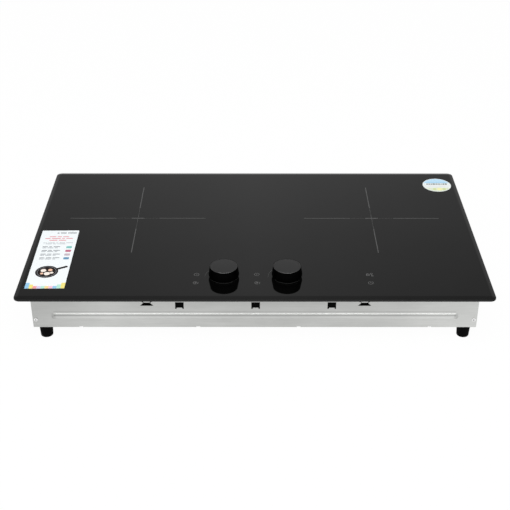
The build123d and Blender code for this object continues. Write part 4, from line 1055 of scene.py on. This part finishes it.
def makeCrossTree():
    tree, given = startTree("zoneCross", {
        "Arm Length": "Float", "Solid Start": "Float", "Dot Start": "Float", "Dot Count": "Int",
        "Dot Size": "Float", "Line Width": "Float", "Thickness": "Float", "Place": "Vector",
        "Print": "Material",
    })
    length = math(tree, "SUBTRACT", given["Arm Length"], given["Solid Start"])
    bar = addNode(tree, "GeometryNodeMeshCube", {
        "Size": vector(tree, length, given["Line Width"], given["Thickness"]),
    })
    middle = math(tree, "ADD", given["Solid Start"], math(tree, "MULTIPLY", length, 0.5))
    shiftedBar = addNode(tree, "GeometryNodeTransform", {
        "Geometry": bar.outputs["Mesh"], "Translation": vector(tree, middle),
    })
    dotted = math(tree, "SUBTRACT", given["Solid Start"], given["Dot Start"])
    row = addNode(tree, "GeometryNodeMeshLine", {
        "Count": given["Dot Count"], "Start Location": vector(tree, given["Dot Start"]),
        "Offset": vector(tree, math(tree, "DIVIDE", dotted, given["Dot Count"])),
    })
    dot = addNode(tree, "GeometryNodeMeshCylinder", {
        "Vertices": zoneCross["dotSides"], "Radius": math(tree, "MULTIPLY", given["Dot Size"], 0.5),
        "Depth": given["Thickness"],
    })
    dots = addNode(tree, "GeometryNodeInstanceOnPoints", {
        "Points": row.outputs["Mesh"], "Instance": dot.outputs["Mesh"],
    })
    arm = tree.nodes.new("GeometryNodeJoinGeometry")
    for piece in (shiftedBar, dots):
        tree.links.new(piece.outputs[0], arm.inputs[0])

    # Four points in one place, one for each arm
    hub = addNode(tree, "GeometryNodeMeshLine", {"Count": 4, "Offset": (0, 0, 0)})
    index = addNode(tree, "GeometryNodeInputIndex").outputs[0]
    arms = addNode(tree, "GeometryNodeInstanceOnPoints", {
        "Points": hub.outputs["Mesh"], "Instance": arm.outputs[0],
        "Rotation": vector(tree, 0.0, 0.0, math(tree, "MULTIPLY", index, pi / 2)),
    })
    endTree(tree, arms.outputs[0], given["Print"], given["Place"])
    return tree


def makeZoneCrosses():
    tree = makeCrossTree()
    form = bmesh.new()
    for side in ("left", "right"):
        coilLow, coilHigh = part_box("coil_winding_" + side)
        middle = (coilLow + coilHigh) / 2 / mm
        place = (middle.x, middle.y, (printLow + printHigh) / 2)
        cross = treeMesh("cross", tree, {
            "Arm Length": zoneCross["armLength"] * mm, "Solid Start": zoneCross["solidStart"] * mm,
            "Dot Start": zoneCross["dotStart"] * mm, "Dot Count": zoneCross["dotCount"],
            "Dot Size": zoneCross["dotSize"] * mm, "Line Width": zoneCross["lineWidth"] * mm,
            "Thickness": printing["thickness"] * mm, "Place": [value * mm for value in place],
            "Print": looks["zonePrint"],
        })
        form.from_mesh(cross)
        bpy.data.meshes.remove(cross)
        wide, thin = zoneCross["heartWidth"], zoneCross["hairWidth"]
        hair = zoneCross["dotStart"] - wide / 2 - zoneCross["dotSize"]      # from the heart to the first dot
        strokes = [rectangle(2 * zoneCross["heartReach"], wide, centre=place[:2])]
        for way in (-1, 1):
            strokes.append(rectangle(thin, hair, centre=(place[0], place[1] + way * (wide + hair) / 2)))
        for stroke in strokes:
            slab(form, [point * mm for point in stroke], printLow * mm, printHigh * mm)
    mesh = bpy.data.meshes.new("zoneCrosses")
    form.to_mesh(mesh)
    form.free()
    addPiece("zoneCrosses", mesh, looks["zonePrint"])


makeZoneCrosses()

levelArc = {
    "radius": 23.7, "from": 60.0, "to": 180.0, "count": 17, "dashLength": 2.6, "thinnest": 0.25,
    "thickest": 1.1,
}
knobCentres = {}
for side in ("left", "right"):
    shellLow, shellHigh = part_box("knob_shell_" + side)
    knobCentres[side] = (shellLow + shellHigh) / 2 / mm


def makeArcTree():
    tree, given = startTree("levelArc", {
        "Radius": "Float", "Start": "Float", "Sweep": "Float", "Count": "Int", "Dash Length": "Float",
        "Thinnest": "Float", "Thickest": "Float", "Thickness": "Float", "Place": "Vector",
        "Print": "Material",
    })
    # One point for each dash, turned into place below
    row = addNode(tree, "GeometryNodeMeshLine", {"Count": given["Count"], "Offset": (0, 0, 0)})
    share = indexShare(tree, given["Count"])
    growth = math(tree, "SUBTRACT", given["Thickest"], given["Thinnest"])
    width = math(tree, "ADD", given["Thinnest"], math(tree, "MULTIPLY", share, growth))
    angle = math(tree, "ADD", given["Start"], math(tree, "MULTIPLY", share, given["Sweep"]))
    x, y = roundPlace(tree, given["Radius"], angle)
    spread = addNode(tree, "GeometryNodeSetPosition", {
        "Geometry": row.outputs["Mesh"], "Position": vector(tree, x, y),
    })
    dash = addNode(tree, "GeometryNodeMeshCube", {
        "Size": vector(tree, 1.0, given["Dash Length"], given["Thickness"]),
    })
    dashes = addNode(tree, "GeometryNodeInstanceOnPoints", {
        "Points": spread.outputs[0], "Instance": dash.outputs["Mesh"],
        "Rotation": vector(tree, 0.0, 0.0, angle), "Scale": vector(tree, width, 1.0, 1.0),
    })
    endTree(tree, dashes.outputs[0], given["Print"], given["Place"])
    return tree


def makeLevelArcs():
    tree = makeArcTree()
    for side, centre in knobCentres.items():
        place = (centre.x, centre.y, (printLow + printHigh) / 2)
        mesh = treeMesh("levelArc_" + side, tree, {
            "Radius": levelArc["radius"] * mm, "Start": radians(levelArc["to"]),
            "Sweep": radians(levelArc["from"] - levelArc["to"]), "Count": levelArc["count"],
            "Dash Length": levelArc["dashLength"] * mm, "Thinnest": levelArc["thinnest"] * mm,
            "Thickest": levelArc["thickest"] * mm, "Thickness": printing["thickness"] * mm,
            "Place": [value * mm for value in place], "Print": looks["iconPrint"],
        })
        mesh.materials.clear()
        addPiece("levelArc_" + side, mesh, looks["iconPrint"])


makeLevelArcs()

touchIcons = {
    "size": 6.8, "line": 0.72,
    # Places in millimetres, and the sizes after them in radii of an icon
    "timers": ((-73.7, -117.0), (2.3, -117.0)), "hand": 0.7, "handRise": 0.2,
    "boosts": ((-73.9, -136.6), (2.9, -136.6)), "boostHeart": 0.4,
    "boostArcs": ((70, 220, 40), (-50, 80, 16)),      # start and sweep in degrees, and points
    "lock": (142.6, -116.2), "lockBody": (1.1, 0.6), "lockDrop": 0.55, "lockBow": 0.48,
    "key": (147.2, -115.4), "keyBow": 0.5, "keyShaft": 1.2, "keyTooth": 0.6, "teethAt": (0.55, 0.9),
    "power": (144.6, -136.8), "powerArc": (115, 310), "stroke": 1.2, "strokeRise": 0.4,
}


def makeTouchIcons():  # the usual signs: clock, boost, padlock and power
    form = bmesh.new()
    radius = touchIcons["size"] / 2
    line = touchIcons["line"]

    def ring(centre, outer, start=0, sweep=360, count=40):  # start and sweep in degrees
        band = [ringPoints(r, centre, count, radians(start), radians(sweep)) for r in (outer, outer - line)]
        bandSlab(form, band[0], band[1], printLow, printHigh, closed=sweep >= 360)

    def bar(centre, length, width):
        slab(form, rectangle(length, width, min(length, width) / 3, centre, 3), printLow, printHigh)

    for x, y in touchIcons["timers"]:
        ring((x, y), radius)
        bar((x, y + radius * touchIcons["handRise"]), line, radius * touchIcons["hand"])
    for x, y in touchIcons["boosts"]:
        for arc in touchIcons["boostArcs"]:
            ring((x, y), radius, *arc)
        slab(form, ringPoints(radius * touchIcons["boostHeart"], (x, y), count=24), printLow, printHigh)
    x, y = touchIcons["lock"]
    middle = (x, y - radius * touchIcons["lockDrop"])
    body = [rectangle(radius * size + line, radius * size, line * size, middle, 3)
            for size in touchIcons["lockBody"]]
    bandSlab(form, body[0], body[1], printLow, printHigh)
    ring((x, y), radius * touchIcons["lockBow"], sweep=180, count=24)
    x, y = touchIcons["key"]
    bow, shaft, tooth = (radius * touchIcons[name] for name in ("keyBow", "keyShaft", "keyTooth"))
    ring((x, y), bow)
    bar((x, y - bow - shaft / 2), line, shaft)
    for share in touchIcons["teethAt"]:
        bar((x + line / 2 + tooth / 2, y - bow - shaft * share), tooth, line)
    x, y = touchIcons["power"]
    ring((x, y), radius, *touchIcons["powerArc"])
    bar((x, y + radius * touchIcons["strokeRise"]), line, radius * touchIcons["stroke"])
    addPiece("touchIcons", meshFrom("touchIcons", form, smooth=False), looks["iconPrint"])


makeTouchIcons()
print("prints ready")


# Labels on the glass

inks = {
    "paper": (241, 246, 248), "chalk": (234, 239, 238), "grey": (150, 156, 162),
    "darkGrey": (112, 116, 122), "pink": (226, 164, 170), "ash": (196, 182, 192), "blue": (104, 150, 184),
    "teal": (130, 196, 190), "crimson": (194, 112, 136), "dark": (30, 25, 23), "cream": (246, 236, 226),
    "peach": (240, 196, 170), "yellow": (240, 226, 130), "lavender": (216, 208, 238),
    "sky": (150, 200, 232), "salmon": (240, 160, 160), "mint": (184, 232, 214), "sand": (248, 216, 150),
    "rose": (244, 196, 214), "paleSky": (190, 224, 246), "lime": (206, 218, 150), "text": (84, 90, 84),
    "wash": (224, 232, 210), "straw": (242, 240, 178), "mist": (224, 226, 230),
}
labelFilm = {"thickness": 0.12, "inkStep": 0.012, "cornerRadius": 1.0}


def startLabel(centre, turn=0.0):  # the label's form, and a function that prints one shape on it
    form = bmesh.new()
    layer = form.loops.layers.float_color.new("ink")
    place = Matrix.Translation((*centre, 0)) @ Matrix.Rotation(radians(turn), 4, "Z")

    def shape(outline, colour, level=1):  # level counts ink steps above the film, and 0 is the film
        low = printLow + labelFilm["thickness"] if level else printLow
        high = printLow + labelFilm["thickness"] + level * labelFilm["inkStep"]
        for face in slab(form, outline, low, high, place):
            for loop in face.loops:
                loop[layer] = tint(inks[colour])
    return form, shape


def finishLabel(name, form):
    addPiece(name, meshFrom(name, form, smooth=False), labelPrint)


cardLabel = {
    "centre": (-261.5, -77.25), "turn": 0.67, "width": 49.3, "height": 145.5, "wordGap": 1.6,
    # Rows of bars in place of words: left end, height up the card, lengths, depth and colour
    "rows": (
        (-4.0, 66.0, (3.0, 8.0, 12.0), 2.2, "darkGrey"),
        (-13.0, 56.0, (9.0, 6.0, 8.0), 2.4, "pink"),
        (-18.0, 51.2, (7.0, 12.0, 4.0, 9.0), 2.4, "pink"),
        (-12.0, 46.4, (11.0, 10.0), 2.4, "pink"),
        (-19.0, 39.6, (5.0, 9.0, 3.0, 7.0, 9.0), 1.1, "grey"),
        (-15.0, 36.8, (8.0, 4.0, 11.0), 1.1, "grey"),
    ),
    # Tiles down the right-hand side, with two rows of words to the left of each
    "tiles": (
        ("teal", (7.0, 4.0, 9.0), (5.0, 8.0, 4.0)), ("crimson", (7.0, 5.0, 9.0), (6.0, 8.0, 4.0)),
        ("ash", (7.0, 6.0, 9.0), (5.0, 8.0, 4.0)), ("blue", (7.0, 7.0, 9.0), (6.0, 8.0, 4.0)),
    ),
    "tileSize": (7.4, 5.6, 1.2), "tileX": 17.0, "tileTop": 28.0, "tileStep": 9.5,
    "tileWordsX": -18.0, "tileWordDepth": 1.5, "tileWords": ((1.4, "darkGrey"), (-1.6, "grey")),
    "pan": (-3.0, -33.5), "panRadius": 14.5, "panRings": ((12.2, "grey"), (11.7, "dark")),
    "handle": (17.0, 4.2, 1.8), "handleX": 19.5, "handleTurn": 28,
    "food": ((-4.5, 3.0, 3.6, "cream"), (4.0, 4.0, 2.8, "peach"), (1.0, -4.6, 3.9, "cream"),
             (-5.6, -4.2, 2.1, "peach"), (6.6, -2.4, 2.3, "cream")),     # round, in the pan
    "pennants": ("sky", "yellow", "salmon", "lavender", "mint", "sand", "rose", "sky", "mint", "yellow"),
    "pennantTops": (13.0, 9.0, 5.5),     # at the ends, beside them and between
}


def makeCardLabel():
    card = cardLabel
    form, shape = startLabel(card["centre"], card["turn"])
    width, height = card["width"], card["height"]

    def words(left, y, lengths, depth, colour):
        for length in lengths:
            shape(rectangle(length, depth, depth / 3, (left + length / 2, y), 2), colour)
            left += length + card["wordGap"]

    shape(rectangle(width, height, labelFilm["cornerRadius"]), "paper", 0)
    for row in card["rows"]:
        words(*row)
    length, depth, radius = card["tileSize"]
    for index, (colour, *lengths) in enumerate(card["tiles"]):
        y = card["tileTop"] - index * card["tileStep"]
        shape(rectangle(length, depth, radius, (card["tileX"], y), 4), colour)
        for row, (rise, ink) in zip(lengths, card["tileWords"]):
            words(card["tileWordsX"], y + rise, row, card["tileWordDepth"], ink)

    # A plain pan seen from above, with food in it
    pan = Vector(card["pan"])
    turn = Matrix.Rotation(radians(card["handleTurn"]), 2)
    length, depth, radius = card["handle"]
    handle = rectangle(length, depth, radius, (card["handleX"], 0), 4)
    shape([turn @ point + pan for point in handle], "dark")
    shape(ringPoints(card["panRadius"], pan, count=48), "dark")
    for level, (radius, colour) in enumerate(card["panRings"], 2):
        shape(ringPoints(radius, pan, count=48), colour, level)
    for x, y, radius, colour in card["food"]:
        shape(ringPoints(radius, pan + Vector((x, y)), count=24), colour, level + 1)

    # Pastel pennants along the bottom edge
    count = len(card["pennants"])
    step = width / count
    for index, colour in enumerate(card["pennants"]):
        left, base = -width / 2 + index * step, -height / 2
        top = base + card["pennantTops"][min(index, count - 1 - index, 2)]
        corners = [(left, base), (left + step, base), (left + step, top), (left, top)]
        shape([Vector(corner) for corner in corners], colour)
    finishLabel("cardLabel", form)


roundLabel = {
    # Corner rounds are in millimetres, and the other lengths after the radius in radii of the label
    "centre": (267.0, 131.7), "radius": 20.6, "seed": 4,
    "field": 0.95, "sky": (18, 144), "wash": (205, 130),     # start and sweep in degrees
    "band": (1.3, 0.08, 0.44), "bandRound": 0.3,             # length, depth and height up the label
    "marks": 9, "markFrom": -0.72, "markY": 0.16, "markGap": 0.04,
    "markLength": (0.09, 0.17), "markHeight": (0.12, 0.18), "markRound": 0.4,
    "faint": ((-0.1, 0.72), (-0.26, 0.6)), "faintDepth": 0.06,
    "spots": ((-0.24, "lime", 0.12), (0.12, "straw", 0.2), (0.44, "lime", 0.13)), "spotY": -0.62,
}


def makeRoundLabel():
    values, radius = roundLabel, roundLabel["radius"]
    form, shape = startLabel(values["centre"])
    shape(ringPoints(radius, count=72), "chalk", 0)
    for name, colour in (("sky", "paleSky"), ("wash", "wash")):
        start, sweep = (radians(angle) for angle in values[name])
        shape(ringPoints(radius * values["field"], count=33, start=start, sweep=sweep), colour)
    length, depth, y = (radius * share for share in values["band"])
    shape(rectangle(length, depth, values["bandRound"], (0, y), 2), "sky", 2)
    draw = Random(values["seed"])
    left = radius * values["markFrom"]
    for index in range(values["marks"]):              # a row of short strokes
        length = radius * draw.uniform(*values["markLength"])
        height = radius * draw.uniform(*values["markHeight"])
        middle = (left + length / 2, radius * values["markY"])
        shape(rectangle(length, height, values["markRound"], middle, 2), "text", 2)
        left += length + radius * values["markGap"]
    depth = radius * values["faintDepth"]
    for y, reach in values["faint"]:
        shape(rectangle(radius * 2 * reach, depth, values["bandRound"], (0, radius * y), 2), "mist", 2)
    for x, colour, size in values["spots"]:
        shape(ringPoints(radius * size, (radius * x, radius * values["spotY"]), count=20), colour, 2)
    finishLabel("roundLabel", form)


makeCardLabel()
makeRoundLabel()
print("labels ready")


# Knobs

# The lowest band of the skirt is painted lighter, a painted highlight; its height is given in this table
knob = {
    "topRadius": 17.4, "wideRadius": 19.45, "wideHeight": 4.0, "skirtRadius": 17.9, "floorGap": 0.4,
    "wall": 2.0, "edgeRound": 0.05, "waistRound": 5.0, "skirtRound": 0.4, "capRadius": 17.28,
    "capThickness": 1.2, "capGap": 0.02, "capRound": 0.5, "highlightHeight": 1.3, "roof": 2.0, "bore": 5.05,
    "bossWall": 2.0, "bossRise": 2.2, "seatRound": 0.1, "roundSteps": 5, "capSteps": 3, "segments": 128,
    "sharpAngle": 40, "capSlope": 0.99,     # upward share of a face, below it the cap's bright rim
}


def makeKnob(side):
    shellLow, shellHigh = (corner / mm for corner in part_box("knob_shell_" + side))
    middle = (shellLow + shellHigh) / 2
    top = shellHigh.z - glassTop
    centre = (middle.x, middle.y, glassTop)
    body, wall, bore = "knob_turner_" + side, knob["wall"], knob["bore"]
    foot, rise, wideHeight = knob["floorGap"], knob["bossRise"], knob["wideHeight"]
    topRadius, wideRadius, skirtRadius = knob["topRadius"], knob["wideRadius"], knob["skirtRadius"]
    seat = top - knob["capThickness"]
    roof = seat - knob["roof"]
    boss = bore + knob["bossWall"]
    rim = knob["capRadius"] + knob["capGap"]
    slope = (wideRadius - topRadius) / (top - wideHeight)
    roofRadius = wideRadius - slope * (roof - wideHeight) - wall
    highlightShare = knob["highlightHeight"] / (wideHeight - foot)
    highlightEdge = (skirtRadius + (wideRadius - skirtRadius) * highlightShare, foot + knob["highlightHeight"])
    points = [
        (skirtRadius, foot), highlightEdge, (wideRadius, wideHeight), (topRadius, top), (rim, top), (rim, seat),
        (0, seat), (0, roof), (bore, roof), (bore, rise), (boss, rise), (boss, roof), (roofRadius, roof),
        (wideRadius - wall, wideHeight), (skirtRadius - wall, foot),
    ]
    radii = [knob["skirtRound"], 0, knob["waistRound"], knob["edgeRound"], knob["seatRound"]]
    radii += [0] * (len(points) - len(radii))

    def turned(name, outline, main, marked, isMarked):  # a mesh whose marked faces have their own finish
        form = bmesh.new()
        lathe(form, outline, centre, knob["segments"])
        mesh = meshFrom(name, form)
        mesh.materials.append(looks[main])
        mesh.materials.append(looks[marked])
        for face in mesh.polygons:
            face.material_index = 1 if isMarked(face) else 0
        mesh.set_sharp_from_angle(angle=radians(knob["sharpAngle"]))     # corners stay crisp
        return mesh

    # The foot of the skirt takes the lighter finish, a painted highlight
    highlightTop = (glassTop + highlightEdge[1]) * mm
    outline = roundCorners(points, radii, knob["roundSteps"])
    shell = turned("knobShell_" + side, outline, "knobBlack", "knobFootHighlight",
                   lambda face: face.center.z < highlightTop)
    addPiece("knobShell_" + side, shell, None, body, ("knob_shell_" + side,))

    capRadius = knob["capRadius"]
    points = [(0, seat), (capRadius, seat), (capRadius, top), (0, top)]
    outline = roundCorners(points, [0, 0, knob["capRound"], 0], knob["capSteps"])
    cap = turned("knobCap_" + side, outline, "knobTop", "knobRim",
                 lambda face: abs(face.normal.z) < knob["capSlope"])
    addPiece("knobCap_" + side, cap, None, body, ("knob_cap_" + side,))


for side in ("left", "right"):
    makeKnob(side)
print("knobs ready")
